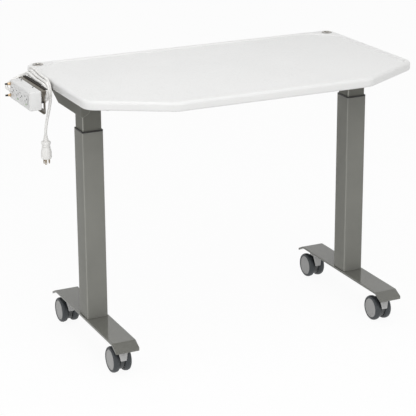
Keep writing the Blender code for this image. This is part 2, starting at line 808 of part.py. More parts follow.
def tyre_profile():
    """A ring with round shoulders: heights from the wheel's inner face outwards."""
    outer, shoulder = WHEEL_RADIUS, TYRE_SHOULDER
    angles = np.radians((90, 60, 30, 0))
    high = [
        (outer - shoulder * (1 - math.cos(a)), WHEEL_WIDTH - shoulder * (1 - math.sin(a))) for a in angles
    ]
    low = [(r, WHEEL_WIDTH - z) for r, z in high[::-1]]
    seat = TYRE_SEAT_RADIUS + GAP
    return [(seat, WHEEL_WIDTH - HUB_FACE_SINK / 2), *high, *low, (seat, 0.0005)]


def hub_profile():
    """A cup with a closed, slightly domed outer face, a rim for the tyre and a boss with a blind bore."""
    face = WHEEL_WIDTH - HUB_FACE_SINK
    inside = face - HUB_FACE_WALL
    bore = AXLE_RADIUS + GAP
    return [
        (0, face + HUB_FACE_SINK / 2),
        (TYRE_SEAT_RADIUS * 0.7, face + HUB_FACE_SINK / 4),
        (TYRE_SEAT_RADIUS - 0.001, face),
        (TYRE_SEAT_RADIUS, face - 0.001),
        (TYRE_SEAT_RADIUS, 0.001),
        (TYRE_SEAT_RADIUS - HUB_WALL, 0.001),
        (TYRE_SEAT_RADIUS - HUB_WALL, inside),
        (HUB_BOSS_RADIUS, inside),
        (HUB_BOSS_RADIUS, 0.0003),
        (bore, 0.0003),
        (bore, AXLE_IN_HUB + GAP),
        (0, AXLE_IN_HUB + GAP),
    ]


def casters():
    hood = hood_mesh()
    stem = turned_mesh(stem_profile(), SMALL_STEPS)
    axle = cone_mesh(AXLE_RADIUS, AXLE_RADIUS, WHEEL_GAP + 2 * AXLE_IN_HUB, SMALL_STEPS, "X")
    tyre = turned_mesh(tyre_profile(), WHEEL_STEPS, closed=True)
    hub = turned_mesh(hub_profile(), WHEEL_STEPS)
    shade_round(axle)
    for side, leg in SIDES:
        for end, way in ENDS:
            name = f"{side}_{end}"
            x, y = leg * LEG_X, way * CASTER_SPACING / 2
            axle_y = y + CASTER_TRAIL
            add(f"caster_stem_{name}", stem, STEEL, (x, y, CASTER_HEIGHT))
            add(f"caster_hood_{name}", hood, HUB_PLASTIC, (x, y, 0))
            add(f"caster_axle_{name}", axle, STEEL, (x, axle_y, AXLE_Z))
            for face, sign in SIDES:
                place = (x + sign * WHEEL_GAP / 2, axle_y, AXLE_Z)
                turn = (0, sign * math.pi / 2, 0)
                add(f"tyre_{name}_{face}", tyre, TYRE_RUBBER, place, turn)
                add(f"hub_{name}_{face}", hub, HUB_PLASTIC, place, turn)


# Arms and rail under the top
def arms():
    """U-shaped sheet arms, open below, each with a flat tongue forwards under the top."""
    half, inside = ARM_WIDTH / 2, ARM_INSIDE / 2
    skirt_side = [
        (ARM_LOW_REAR, ARM_BOTTOM),
        (ARM_REAR, UNDER_TOP - ARM_REAR_DEPTH),
        (ARM_REAR, UNDER_TOP),
        (-ARM_TONGUE_FRONT, UNDER_TOP),
        (-ARM_TONGUE_FRONT, ARM_WEB_BOTTOM),
        (-half, ARM_WEB_BOTTOM),
        (-half, ARM_BOTTOM),
    ]
    hollow_side = [
        (-inside, ARM_BOTTOM - ARM_DEPTH),
        (ARM_REAR - ARM_WALL, ARM_BOTTOM - ARM_DEPTH),
        (ARM_REAR - ARM_WALL, ARM_WEB_BOTTOM),
        (-inside, ARM_WEB_BOTTOM),
    ]
    bend = ARM_WALL / 3
    for side, sign in SIDES:
        x = sign * LEG_X
        arm = add(f"arm_{side}", extruded_mesh([skirt_side], ARM_WIDTH, "X"), DARK_PAINT, (x, 0, 0))
        boolean(arm, add("arm_hollow", extruded_mesh([hollow_side], ARM_INSIDE, "X"), DARK_PAINT, (x, 0, 0)))
        # The front wall stays only as a tab that wraps the outer corner, its lower edge sloping,
        # and the inner skirt starts further back
        slope = ARM_TAB_RISE / ARM_TAB_WIDTH
        beyond = sign * (half + ARM_WALL)
        tab = sign * (half - ARM_TAB_WIDTH)
        inner = -sign * (half + ARM_WALL)
        tab_cut = [
            (beyond, ARM_BOTTOM - slope * ARM_WALL),
            (tab, ARM_BOTTOM + ARM_TAB_RISE),
            (tab, ARM_WEB_BOTTOM - bend),
            (inner, ARM_WEB_BOTTOM - bend),
            (inner, ARM_BOTTOM - ARM_DEPTH),
            (beyond, ARM_BOTTOM - ARM_DEPTH),
        ]
        front = extruded_mesh([tab_cut], 2 * ARM_INNER_SETBACK, "Y")
        boolean(arm, add("arm_tab_cut", front, DARK_PAINT, (x, -half, 0)))


def cross_rail():
    length = 2 * LEG_X - ARM_WIDTH - 2 * GAP
    outer = rounded(rectangle(RAIL_WIDTH, RAIL_HEIGHT), RAIL_RADIUS)
    hollow = rectangle(RAIL_WIDTH - 2 * RAIL_WALL, RAIL_HEIGHT - 2 * RAIL_WALL)
    inner = rounded(hollow, RAIL_RADIUS - RAIL_WALL)
    mesh = extruded_mesh([outer, inner], length, "X")
    shade_round(mesh)
    add("cross_rail", mesh, DARK_PAINT, (0, 0, UNDER_TOP - RAIL_HEIGHT / 2))


# Outlet box
def outlet_box():
    middle = (BOX_FACE_X + BOX_DEPTH / 2, BOX_MIDDLE_Y, BOX_MIDDLE_Z)
    box = add("outlet_box", box_mesh((BOX_DEPTH, BOX_LENGTH, BOX_HEIGHT)), WHITE_PLASTIC, middle)
    bevel(box, BOX_EDGE_RADIUS)
    reach = BOX_STANDOFF - GAP
    for _, end in ENDS:
        boss = cone_mesh(BOX_BOSS_RADIUS, BOX_BOSS_RADIUS, 2 * reach, SMALL_STEPS, "X")
        place = (BOX_BACK_X, BOX_MIDDLE_Y + end * BOX_BOSS_SPACING / 2, BOX_TOP - BOX_BOSS_HEIGHT)
        boolean(box, add("box_boss", boss, WHITE_PLASTIC, place), "UNION")
    gland = cone_mesh(GLAND_RADIUS, CORD_RADIUS + 0.0012, 2 * GLAND_LENGTH, SMALL_STEPS, "Y")
    boolean(box, add("gland", gland, WHITE_PLASTIC, (GLAND_X, BOX_REAR, GLAND_Z)), "UNION")
    pocket = rounded(
        rectangle(RECEPTACLE_LENGTH + 2 * GAP, RECEPTACLE_HEIGHT + 2 * GAP), RECEPTACLE_RADIUS + GAP
    )
    depth = RECEPTACLE_DEPTH + GAP
    for y, z in receptacle_places():
        hole = extruded_mesh([pocket], 2 * depth, "X")
        boolean(box, add("receptacle_pocket", hole, WHITE_PLASTIC, (BOX_FACE_X, y, z)))
    for z in breaker_heights():
        bore = BREAKER_NECK_RADIUS + GAP
        depth = BREAKER_IN_BOX + BUTTON_TRAVEL + 2 * GAP
        hole = cone_mesh(bore, bore, 2 * depth, SMALL_STEPS, "X")
        boolean(box, add("breaker_hole", hole, WHITE_PLASTIC, (BOX_FACE_X, BREAKER_Y, z)))


def receptacle_places():
    z = BOX_MIDDLE_Z + RECEPTACLE_ABOVE_MIDDLE
    first = RECEPTACLE_FIRST - BOX_FRONT
    return [(first, z), (first + RECEPTACLE_PITCH, z)]


def breaker_heights():
    return [BOX_MIDDLE_Z - BREAKER_SPREAD / 2, BOX_MIDDLE_Z + BREAKER_SPREAD / 2]


def receptacles():
    length = RECEPTACLE_DEPTH + RECEPTACLE_PROUD
    face = rounded(rectangle(RECEPTACLE_LENGTH, RECEPTACLE_HEIGHT), RECEPTACLE_RADIUS)
    front_x = BOX_FACE_X - RECEPTACLE_PROUD
    for (end, _), (y, z) in zip(ENDS, receptacle_places()):
        insert = extruded_mesh([face], length, "X")
        body = add(f"receptacle_{end}", insert, WHITE_PLASTIC, (front_x + length / 2, y, z))
        for _, way in ENDS:
            outlet_y = y + way * OUTLET_SPACING / 2
            for _, rise in SIDES:
                slot = box_mesh((2 * SLOT_DEPTH, SLOT_LENGTH, SLOT_WIDTH))
                place = (front_x, outlet_y + GROUND_OFFSET / 3, z + rise * SLOT_SPACING / 2)
                boolean(body, add("blade_slot", slot, BLACK_PLASTIC, place))
            hole = cone_mesh(GROUND_RADIUS, GROUND_RADIUS, 2 * SLOT_DEPTH, SMALL_STEPS, "X")
            place = (front_x, outlet_y - GROUND_OFFSET * 2 / 3, z)
            boolean(body, add("ground_hole", hole, BLACK_PLASTIC, place))


def breakers():
    """Push-to-reset breakers: a brass neck with its nut, and a black button that slides inside it."""
    proud = BREAKER_NUT + BREAKER_NECK
    bore = BUTTON_RADIUS + GAP
    neck = turned_mesh(
        [
            (bore, proud),
            (BREAKER_NECK_RADIUS - 0.0008, proud),
            (BREAKER_NECK_RADIUS - 0.0008, BREAKER_NUT),
            (BREAKER_NUT_RADIUS, BREAKER_NUT),
            (BREAKER_NUT_RADIUS, GAP),
            (BREAKER_NECK_RADIUS, GAP),
            (BREAKER_NECK_RADIUS, -BREAKER_IN_BOX),
            (bore, -BREAKER_IN_BOX),
        ],
        SMALL_STEPS,
        closed=True,
    )
    tip = proud + BUTTON_PROUD
    button = turned_mesh(
        [
            (0, tip),
            (BUTTON_RADIUS * 0.7, tip - 0.0002),
            (BUTTON_RADIUS, tip - 0.0010),
            (BUTTON_RADIUS, -BREAKER_IN_BOX + 0.001),
            (0, -BREAKER_IN_BOX + 0.001),
        ],
        SMALL_STEPS,
    )
    outwards = (0, -math.pi / 2, 0)
    for level, z in zip(("lower", "upper"), breaker_heights()):
        add(f"breaker_neck_{level}", neck, BRASS, (BOX_FACE_X, BREAKER_Y, z), outwards)
        add(f"breaker_button_{level}", button, BLACK_PLASTIC, (BOX_FACE_X, BREAKER_Y, z), outwards)


def strip_bracket():
    """A sheet bent from the tab under the top, up past the rim, over the neck and down behind the box."""
    riser_x = -(HALF_TOP + BRACKET_RIM_CLEARANCE)
    plate_low = BRACKET_TOP - BRACKET_PLATE_HEIGHT
    path = rounded_path(
        [
            (riser_x + BRACKET_TAB_REACH, UNDER_TOP),
            (riser_x, UNDER_TOP),
            (riser_x, BRACKET_TOP),
            (PLATE_X, BRACKET_TOP),
            (PLATE_X, plate_low),
            (PLATE_X - BRACKET_LIP, plate_low),
        ],
        BRACKET_BEND,
        3,
    )
    length = BRACKET_REAR + BRACKET_PLATE_FRONT
    middle_y = (BRACKET_REAR - BRACKET_PLATE_FRONT) / 2
    sheet = extruded_mesh([sheet_outline(path, BRACKET_SHEET)], length, "Y")
    bracket = add("strip_bracket", sheet, DARK_PAINT, (0, middle_y, 0))
    # Only the neck reaches the top: the rest of the sheet is cut back to the flange
    flange_x = PLATE_X + BRACKET_FLANGE
    reach = riser_x + 2 * BRACKET_TAB_REACH - flange_x
    tall = 4 * BRACKET_PLATE_HEIGHT
    for edge, way in ((BRACKET_NECK_FRONT, -1), (BRACKET_NECK_REAR, 1)):
        side = box_mesh((reach, length, tall))
        place = (flange_x + reach / 2, edge + way * length / 2, BRACKET_TOP)
        boolean(bracket, add("neck_cut", side, DARK_PAINT, place))
    # The plate's upper front corner slopes down from the flange's end
    run = BRACKET_PLATE_FRONT - BRACKET_FLANGE_FRONT
    corner = [
        (-BRACKET_PLATE_FRONT - run, BRACKET_TOP - 2 * BRACKET_CORNER_DROP),
        (run - BRACKET_FLANGE_FRONT, BRACKET_TOP + BRACKET_CORNER_DROP),
        (-BRACKET_PLATE_FRONT - run, BRACKET_TOP + BRACKET_CORNER_DROP),
    ]
    wedge = extruded_mesh([corner], 4 * BRACKET_FLANGE, "X")
    boolean(bracket, add("front_corner", wedge, DARK_PAINT, (PLATE_X, 0, 0)))
    # A window behind the box leaves a strap in front of it and strips above and below
    slope = BRACKET_CORNER_DROP / run
    front = BRACKET_STRAP - BRACKET_PLATE_FRONT
    front_high = BRACKET_TOP - BRACKET_CORNER_DROP + slope * BRACKET_STRAP - BRACKET_STRIP
    high = BRACKET_TOP - BRACKET_STRIP - BRACKET_BEND
    window = [
        (front, plate_low + BRACKET_STRIP),
        (BRACKET_WINDOW_REAR, plate_low + BRACKET_STRIP),
        (BRACKET_WINDOW_REAR, high),
        (front + (high - front_high) / slope, high),
        (front, front_high),
    ]
    opening = extruded_mesh([window], BRACKET_FLANGE, "X")
    boolean(bracket, add("plate_window", opening, DARK_PAINT, (PLATE_X, 0, 0)))


# Cord
def lane_x(lane):
    return CORD_FIRST_X + lane * CORD_PITCH


def lane_top(lane):
    return CORD_TOP + lane * CORD_LIFT_STEP


def lane_front(lane):
    return CORD_FRONT + lane * CORD_FRONT_STEP


def lane_rear(lane):
    return CORD_REAR + lane * CORD_REAR_STEP


def ease(t):
    return (1 - math.cos(math.pi * t)) / 2


def rise(y):
    """How far the loose loops stand up towards their rear ends."""
    t = (y - CORD_RISE_FROM) / (CORD_RISE_TO - CORD_RISE_FROM)
    return CORD_RISE * ease(min(max(t, 0), 1))


def lead_route():
    """From the gland backwards, round the bracket's rear end in a rising half turn, to the first lane."""
    radius = (lane_x(0) - GLAND_X) / 2
    end = lane_rear(0) - CORD_TURN_RADIUS
    places = [
        (GLAND_X, BOX_REAR + GLAND_LENGTH + GAP, 0.0),
        (GLAND_X, BOX_REAR + GLAND_LENGTH + GAP + 2 * CORD_RADIUS, 0.0),
        (GLAND_X, CORD_LEAD_TURN - CORD_RADIUS, 0.0),
    ]
    for angle in np.linspace(0, math.pi, 2 * CORD_TURN_POINTS + 1):
        x = GLAND_X + radius * (1 - math.cos(angle))
        places.append((x, CORD_LEAD_TURN + radius * math.sin(angle), 0.0))
    places += [(lane_x(0), y, 0.0) for y in np.linspace(CORD_LEAD_TURN, end, 4)[1:]]
    places = np.array(places)
    walked = np.concatenate([[0], np.cumsum(np.linalg.norm(np.diff(places, axis=0), axis=1))])
    start = walked[2]
    share = np.clip((walked - start) / (walked[-1] - start), 0, 1)
    places[:, 2] = [GLAND_Z + (CORD_TOP + rise(y) - GLAND_Z) * ease(t) for y, t in zip(places[:, 1], share)]
    return [tuple(place) for place in places]


def half_turn(lane, y, way):
    """Half a turn at a loop's end: way 1 from the top down at the front, -1 from below up at the rear."""
    middle_z = lane_top(lane) - CORD_TURN_RADIUS
    for angle in np.linspace(0, math.pi, CORD_TURN_POINTS + 1):
        reach = -way * CORD_TURN_RADIUS * math.sin(angle)
        yield (lane_x(lane), y + reach, middle_z + way * CORD_TURN_RADIUS * math.cos(angle))


def winding_route():
    """The lead, then one loop for each lane; each loop shifts to the next lane along its lower run."""
    route = lead_route()
    lead = len(route)
    for lane in range(CORD_LANES - 1):
        front = lane_front(lane) + CORD_TURN_RADIUS
        rear = lane_rear(lane + 1) - CORD_TURN_RADIUS
        run = np.linspace(route[-1][1], front, CORD_RUN_POINTS)[1:-1]
        route += [(lane_x(lane), y, lane_top(lane)) for y in run]
        route += list(half_turn(lane, front, 1))
        for t in np.linspace(0, 1, CORD_RUN_POINTS):
            y = CORD_SHIFT_FROM + (CORD_SHIFT_TO - CORD_SHIFT_FROM) * t
            between = lane + ease(t)
            route.append((lane_x(between), y, lane_top(between) - 2 * CORD_TURN_RADIUS))
        route += list(half_turn(lane + 1, rear, -1))
    last = CORD_LANES - 1
    end = CORD_TAIL_START + GAP
    run = np.linspace(route[-1][1], end + 2 * CORD_RADIUS, CORD_RUN_POINTS)[1:]
    route += [(lane_x(last), y, lane_top(last)) for y in run]
    route.append((lane_x(last), end, lane_top(last)))
    return route[:lead] + [(x, y, z + rise(y)) for x, y, z in route[lead:]]


def least_gap(route, radius):
    """Smallest clearance between stretches of the route that aren't neighbours along it."""
    points = np.array(route)
    steps = np.linspace(0, 1, 8, endpoint=False)
    dense = np.concatenate([a + (b - a) * steps[:, None] for a, b in zip(points, points[1:])])
    walked = np.concatenate([[0], np.cumsum(np.linalg.norm(np.diff(dense, axis=0), axis=1))])
    apart = np.linalg.norm(dense[:, None] - dense[None], axis=2)
    near = np.abs(walked[:, None] - walked[None]) < 6 * radius
    return float(np.where(near, np.inf, apart).min() - 2 * radius)


def smooth_route(corners, spacing):
    """Even points on a Catmull-Rom curve through the route's own points."""
    inside = [np.array(corner) for corner in corners]
    ends = [2 * inside[0] - inside[1], *inside, 2 * inside[-1] - inside[-2]]
    dense = []
    for a, b, c, d in zip(ends, ends[1:], ends[2:], ends[3:]):
        for t in np.linspace(0, 1, 12, endpoint=False):
            square, cube = 2 * a - 5 * b + 4 * c - d, 3 * b - a - 3 * c + d
            dense.append(b + 0.5 * ((c - a) * t + square * t**2 + cube * t**3))
    dense = np.array([*dense, ends[-2]])
    walked = np.concatenate([[0], np.cumsum(np.linalg.norm(np.diff(dense, axis=0), axis=1))])
    places = np.linspace(0, walked[-1], max(2, round(walked[-1] / spacing) + 1))
    return [tuple(np.interp(s, walked, dense[:, k]) for k in range(3)) for s in places]


def tail_corners():
    """The hanging end: straight off the last lane, a quarter turn down, then drawn out over the plug."""
    x, top = lane_x(CORD_LANES - 1), lane_top(CORD_LANES - 1)
    turn = CORD_TAIL_START - CORD_TAIL_STRAIGHT - PLUG_Y
    route = [(x, CORD_TAIL_START, top)]
    for angle in np.radians((0, 30, 60, 90)):
        y = PLUG_Y + turn * (1 - math.sin(angle))
        route.append((x, y, top - turn * (1 - math.cos(angle))))
    start, end = route[-1][2], PLUG_TOP + GAP
    for t in (0.18, 0.36, 0.54, 0.72, 0.88, 1):
        route.append((x + (PLUG_X - x) * ease(t), PLUG_Y, start + (end - start) * t))
    return route


def cord():
    winding = winding_route()
    print(f"cord winding: least gap to itself {1000 * least_gap(winding, CORD_RADIUS):.2f} mm")
    tube_curve("cord_winding", winding, CORD_RADIUS, 1)
    tail = smooth_route(tail_corners(), 2.4 * CORD_RADIUS)
    tube_curve("cord_tail", tail, CORD_RADIUS, 2)
    length = sum(math.dist(a, b) for route in (winding, tail) for a, b in zip(route, route[1:]))
    print(f"cord length {length:.3f} m")


# Plug
def plug():
    body = turned_mesh(
        [
            (0, 0),
            (0.0058, 0),
            (0.0066, -0.0080),
            (0.0066, -0.0135),
            (0.0122, -0.0165),
            (0.0134, -0.0200),
            (0.0117, -0.0300),
            (0.0138, -0.0415),
            (0.0150, -0.0500),
            (0.0150, -0.0610),
            (0.0136, -0.0652),
            (0, -PLUG_LENGTH),
        ],
        ROUND_STEPS,
    )
    holder = add("plug_body", body, WHITE_PLASTIC, (PLUG_X, PLUG_Y, PLUG_TOP))
    low = PLUG_TOP - PLUG_LENGTH
    length = PLUG_BLADE_OUT + PLUG_BLADE_IN
    middle = low + PLUG_BLADE_IN - length / 2
    blade_x = PLUG_X - PLUG_BLADE_OFFSET
    for end, way in ENDS:
        y = PLUG_Y + way * PLUG_BLADE_SPACING / 2
        size = (PLUG_BLADE_WIDTH, PLUG_BLADE_THICKNESS, length)
        blade = add(f"plug_blade_{end}", box_mesh(size), STEEL, (blade_x, y, middle))
        bevel(blade, PLUG_BLADE_THICKNESS / 4, 1)
        slot = box_mesh([side + 2 * GAP for side in size])
        boolean(holder, add("blade_slot", slot, STEEL, (blade_x, y, middle)))
    pin_x = blade_x + PLUG_PIN_OFFSET
    pin = cone_mesh(PLUG_PIN_RADIUS * 0.8, PLUG_PIN_RADIUS, length, SMALL_STEPS)
    shade_round(pin)
    add("plug_ground_pin", pin, STEEL, (pin_x, PLUG_Y, middle))
    hole = cone_mesh(PLUG_PIN_RADIUS + GAP, PLUG_PIN_RADIUS + GAP, length + 2 * GAP, SMALL_STEPS)
    boolean(holder, add("pin_hole", hole, STEEL, (pin_x, PLUG_Y, middle)))


work_top()
rod_sockets()
legs()
feet()
casters()
arms()
cross_rail()
outlet_box()
receptacles()
breakers()
strip_bracket()
cord()
plug()
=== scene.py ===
"""Looks of the mobile instrument table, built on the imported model's frame.

Shapes are made in the table's own coordinates: x = 0 on its middle plane, y = 0 on the legs, z = 0 on the
floor and -Y to the front. TABLE moves them to the frame. Each piece takes the place of its CAD nodes.
"""

import json
import math

import bmesh
import bpy
import numpy as np
from mathutils import Matrix, Vector

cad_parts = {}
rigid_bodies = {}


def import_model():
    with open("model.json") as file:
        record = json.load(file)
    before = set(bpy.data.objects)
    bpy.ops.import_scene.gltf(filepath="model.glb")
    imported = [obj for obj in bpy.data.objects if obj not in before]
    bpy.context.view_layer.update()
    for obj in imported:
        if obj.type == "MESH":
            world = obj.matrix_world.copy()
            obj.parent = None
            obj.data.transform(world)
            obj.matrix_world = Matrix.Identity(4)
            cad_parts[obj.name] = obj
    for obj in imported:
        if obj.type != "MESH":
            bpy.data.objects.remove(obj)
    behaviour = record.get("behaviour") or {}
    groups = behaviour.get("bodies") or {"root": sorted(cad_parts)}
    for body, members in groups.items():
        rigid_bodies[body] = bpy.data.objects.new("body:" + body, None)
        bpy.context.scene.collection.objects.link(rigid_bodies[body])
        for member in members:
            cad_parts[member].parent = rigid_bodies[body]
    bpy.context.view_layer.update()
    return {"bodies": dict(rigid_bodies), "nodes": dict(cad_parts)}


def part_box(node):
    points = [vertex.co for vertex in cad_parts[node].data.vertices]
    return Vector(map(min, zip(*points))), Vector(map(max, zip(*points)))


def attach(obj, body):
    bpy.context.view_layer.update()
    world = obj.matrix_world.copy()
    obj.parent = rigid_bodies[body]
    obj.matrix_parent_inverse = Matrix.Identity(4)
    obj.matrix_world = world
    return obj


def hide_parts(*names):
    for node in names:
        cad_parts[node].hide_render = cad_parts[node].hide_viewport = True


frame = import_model()


def middle(node_name):
    low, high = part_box(node_name)
    return (low + high) / 2


TABLE = Vector((middle("work_top").x, middle("foot_left").y, 0.0))
GAP = 0.0003
ON_AXIS = 1e-5
SHARP_ANGLE = 32
LEAST_TURN = 0.02
MOST_OF_SIDE = 0.48
SIDES = (("left", -1), ("right", 1))
ENDS = (("front", -1), ("rear", 1))

# Work top
TOP_WIDTH = 1.016
TOP_REAR = 0.282
TOP_FRONT = 0.322
TOP_SIDE_FRONT = 0.197
TOP_FRONT_STRAIGHT = 0.591
TOP_HEIGHT = 0.794
TOP_THICKNESS = 0.026
TOP_REAR_RADIUS = 0.034
TOP_FRONT_RADIUS = 0.045
LIP_TOP_RADIUS = 0.009
LIP_BOTTOM_RADIUS = 0.005
LIP_WIDTH = 0.021
LIP_SLOPE = 0.0062
DISH_DEPTH = 0.0045
DISH_CORNER_CUT = 0.066
DISH_CORNER_RADIUS = 0.026
CORNER_POINTS = 14
LIP_BOTTOM_RINGS = 7
LIP_TOP_RINGS = 10
DISH_RINGS = 13
HALF_TOP = TOP_WIDTH / 2
TOP_BOTTOM = TOP_HEIGHT - TOP_THICKNESS
UNDER_TOP = TOP_BOTTOM - GAP
SOCKET_X = HALF_TOP - 0.030
SOCKET_Y = TOP_REAR - 0.034
SOCKET_HOLE_RADIUS = 0.0124
SOCKET_HOLE_DEPTH = 0.0198

# Legs and feet
LEG_X = HALF_TOP - 0.0845
OUTER_TUBE = 0.0635
OUTER_WALL = 0.0015
OUTER_CORNER = 0.0045
INNER_TUBE = 0.057
INNER_WALL = 0.0020
INNER_CORNER = 0.0040
INNER_OVERLAP = 0.416
FOOT_TOP = 0.1035
FOOT_THICKNESS = 0.006
FOOT_WIDTH = 0.071
FOOT_FLAT = 0.4435
FOOT_LIP_RUN = 0.0323
FOOT_LIP_DROP = 0.0165
FOOT_BEND = 0.014
FOOT_CORNER = 0.007
ARM_WALL = 0.0030
ARM_INNER_SETBACK = 0.0150
ARM_REAR = 0.250
ARM_REAR_DEPTH = 0.0185
ARM_SLOPE_FROM = 0.1507
ARM_CORNER = 0.0045
TAB_WIDTH = 0.025
TAB_RISE = 0.0100
TAB_BEND = 0.014
TONGUE_LENGTH = 0.186
TONGUE_Y = -0.122
ARM_INSIDE = INNER_TUBE + 2 * GAP
ARM_WIDTH = ARM_INSIDE + 2 * ARM_WALL
ARM_BOTTOM = UNDER_TOP - 0.0672
ARM_WEB_BOTTOM = UNDER_TOP - ARM_WALL
COLLAR_TOP = ARM_BOTTOM - 0.0406
COLLAR_RIM = 0.0040
SLEEVE_WIDTH = 0.0599
SLEEVE_LENGTH = 0.055
OUTER_TOP = COLLAR_TOP - COLLAR_RIM - GAP

# Casters
CASTER_SPACING = 0.403
CASTER_TRAIL = 0.021
CASTER_HEIGHT = 0.0975
WHEEL_RADIUS = 0.0375
WHEEL_GAP = 0.0145
TYRE_SEAT_RADIUS = 0.0292
CORE_RADIUS = 0.0268
WEB_RADIUS = 0.030
HOOD_RADIUS = 0.0165
HOOD_BOTTOM = 2 * WHEEL_RADIUS + 0.0024
HOOD_TOP = CASTER_HEIGHT - 0.0036
SHIELD_TOP = HOOD_BOTTOM + 0.003
SHIELD_BOTTOM = 0.0445
SHIELD_TAPER = 0.00725
SHIELD_OUTSIDE = 0.0208
SHIELD_INSIDE = 0.0186
SHIELD_SPAN = 0.0210
SHIELD_FACET = 0.62
STEM_RADIUS = 0.0040
STEM_FLANGE = 0.0033

# Outlet box and bracket
PLATE_X = -(HALF_TOP + 0.057)
BRACKET_TOP = TOP_HEIGHT - 0.0079
BRACKET_SHEET = 0.0025
BRACKET_FLANGE = 0.0150
BRACKET_PLATE_FRONT = 0.0445
BRACKET_FLANGE_FRONT = 0.0180
BRACKET_CORNER_DROP = 0.0240
BRACKET_REAR = 0.165
BRACKET_STRAP = 0.0110
BRACKET_STRIP = 0.0082
BRACKET_TONGUE = 0.046
BRACKET_TOE = 0.0045
RISER_X = -(HALF_TOP + 0.003)
PLATE_BOTTOM = BRACKET_TOP - 0.0556
NECK_FRONT = 0.0560
NECK_REAR = 0.1370
WINDOW_REAR = 0.030
BOX_DEPTH = 0.035
BOX_LENGTH = 0.1645
BOX_HEIGHT = 0.0535
BOX_FRONT = 0.0425
BOX_BACK_X = PLATE_X - 0.0070
BOX_FACE_X = BOX_BACK_X - BOX_DEPTH
BOX_TOP = TOP_HEIGHT - 0.0010
BOX_MIDDLE_Z = BOX_TOP - BOX_HEIGHT / 2
BOX_REAR = BOX_LENGTH - BOX_FRONT
BOX_MIDDLE_Y = BOX_REAR - BOX_LENGTH / 2
BOSS_SPACING = 0.1555
BOSS_Z = BOX_TOP - 0.0327
BREAKER_Y = BOX_REAR - 0.0070
BREAKER_SPREAD = 0.0324
BREAKER_LEVELS = [BOX_MIDDLE_Z + side * BREAKER_SPREAD / 2 for side in (-1, 1)]
BREAKER_BORE = 0.0029
BREAKER_HOLE = 0.0044
THREAD_ROOT = 0.0033
THREAD_PITCH = 0.0009
RECEPTACLE_LENGTH = 0.066
RECEPTACLE_HEIGHT = 0.033
RECEPTACLE_RADIUS = 0.0110
RECEPTACLE_SPACING = 0.0683
RECEPTACLE_Y = 0.0489 - BOX_FRONT
RECEPTACLE_Z = BOX_MIDDLE_Z + 0.0030
RECEPTACLES = [(y, RECEPTACLE_Z) for y in (RECEPTACLE_Y, RECEPTACLE_Y + RECEPTACLE_SPACING)]
OUTLET_SPACING = 0.0389
OUTLET_LENGTH = 0.0300
OUTLET_HEIGHT = 0.0270
OUTLET_RADIUS = 0.0100
SLOT_SPACING = 0.0127
SLOT_SHIFT = 0.0040
SLOT_LENGTH = 0.0080
SLOT_WIDTH = 0.0019
EARTH_REACH = 0.0119
EARTH_RADIUS = 0.0026
BOX_SCREW_X = BOX_BACK_X - 0.0075
DOT_RADIUS = 0.0021
DOT_Z = BOX_TOP - 0.0395
SHADE_STRIP_WIDTH = 0.0094
SHADE_STRIP_LENGTH = 0.1760
SHADE_STRIP_HEIGHT = 0.0024

# Cord and plug
CORD_RADIUS = 0.0041
CORD_LANES = 3
CORD_PITCH = 0.0101
CORD_LIFT_STEP = 0.0030
CORD_RISE = 0.0080
CORD_RISE_FROM = 0.085
CORD_RISE_TO = 0.190
CORD_TURN_RADIUS = 0.0245
CORD_FRONT = 0.012
CORD_FRONT_STEP = 0.009
CORD_REAR = 0.165
CORD_REAR_STEP = 0.020
CORD_SHIFT_FROM = 0.060
CORD_SHIFT_TO = 0.156
CORD_LEAD_TURN = 0.174
CORD_TAIL_START = 0.0795
CORD_TAIL_STRAIGHT = 0.0100
CORD_RUN_POINTS = 6
CORD_TURN_POINTS = 6
CORD_TOP = BRACKET_TOP + GAP + CORD_RADIUS
CORD_FIRST_X = PLATE_X + BRACKET_FLANGE + 0.0113
GLAND_RADIUS = 0.0072
GLAND_LENGTH = 0.020
GLAND_X = BOX_FACE_X + GLAND_RADIUS + 0.00175
GLAND_Z = CORD_TOP - 0.035
PLUG_X = CORD_FIRST_X + 0.0015
PLUG_Y = 0.0360
PLUG_TOP = TOP_HEIGHT - 0.1503
PLUG_LENGTH = 0.0667
BLADE_X = PLUG_X - SLOT_SHIFT
BLADE_TOP = PLUG_TOP - PLUG_LENGTH + 0.008
BLADE_WIDTH = 0.0063
BLADE_LENGTH = 0.023
BLADE_THICKNESS = 0.0015
PIN_RADIUS = 0.0024


# Shape helpers
def arc(before, corner, after, radius, points):
    """The points that round one corner. The radius shrinks where the sides are short."""
    corner = np.array(corner, float)
    back, ahead = np.array(before, float) - corner, np.array(after, float) - corner
    shorter = min(np.linalg.norm(back), np.linalg.norm(ahead))
    back /= np.linalg.norm(back)
    ahead /= np.linalg.norm(ahead)
    half = math.acos(max(-1.0, min(1.0, float(back @ ahead)))) / 2
    span = math.pi - 2 * half
    if span < LEAST_TURN:
        return [tuple(corner)]
    radius = min(radius, MOST_OF_SIDE * shorter * math.tan(half))
    centre = corner + (back + ahead) / np.linalg.norm(back + ahead) * radius / math.sin(half)
    start = corner + back * radius / math.tan(half) - centre
    end = corner + ahead * radius / math.tan(half) - centre
    return [
        tuple(centre + (start * math.sin(span * (1 - t)) + end * math.sin(span * t)) / math.sin(span))
        for t in np.linspace(0, 1, points)
    ]


def rounded(corners, radius, points=8):
    """A closed outline with its corners rounded."""
    turns = zip(corners[-1:] + corners[:-1], corners, corners[1:] + corners[:1])
    return [place for turn in turns for place in arc(*turn, radius, points)]


def eased(corners, radius, points=5):
    """An open line with its inner corners rounded."""
    turns = zip(corners, corners[1:], corners[2:])
    return [corners[0], *(place for turn in turns for place in arc(*turn, radius, points)), corners[-1]]


def rectangle(width, height):
    return [(a * width / 2, b * height / 2) for a, b in ((1, 1), (-1, 1), (-1, -1), (1, -1))]


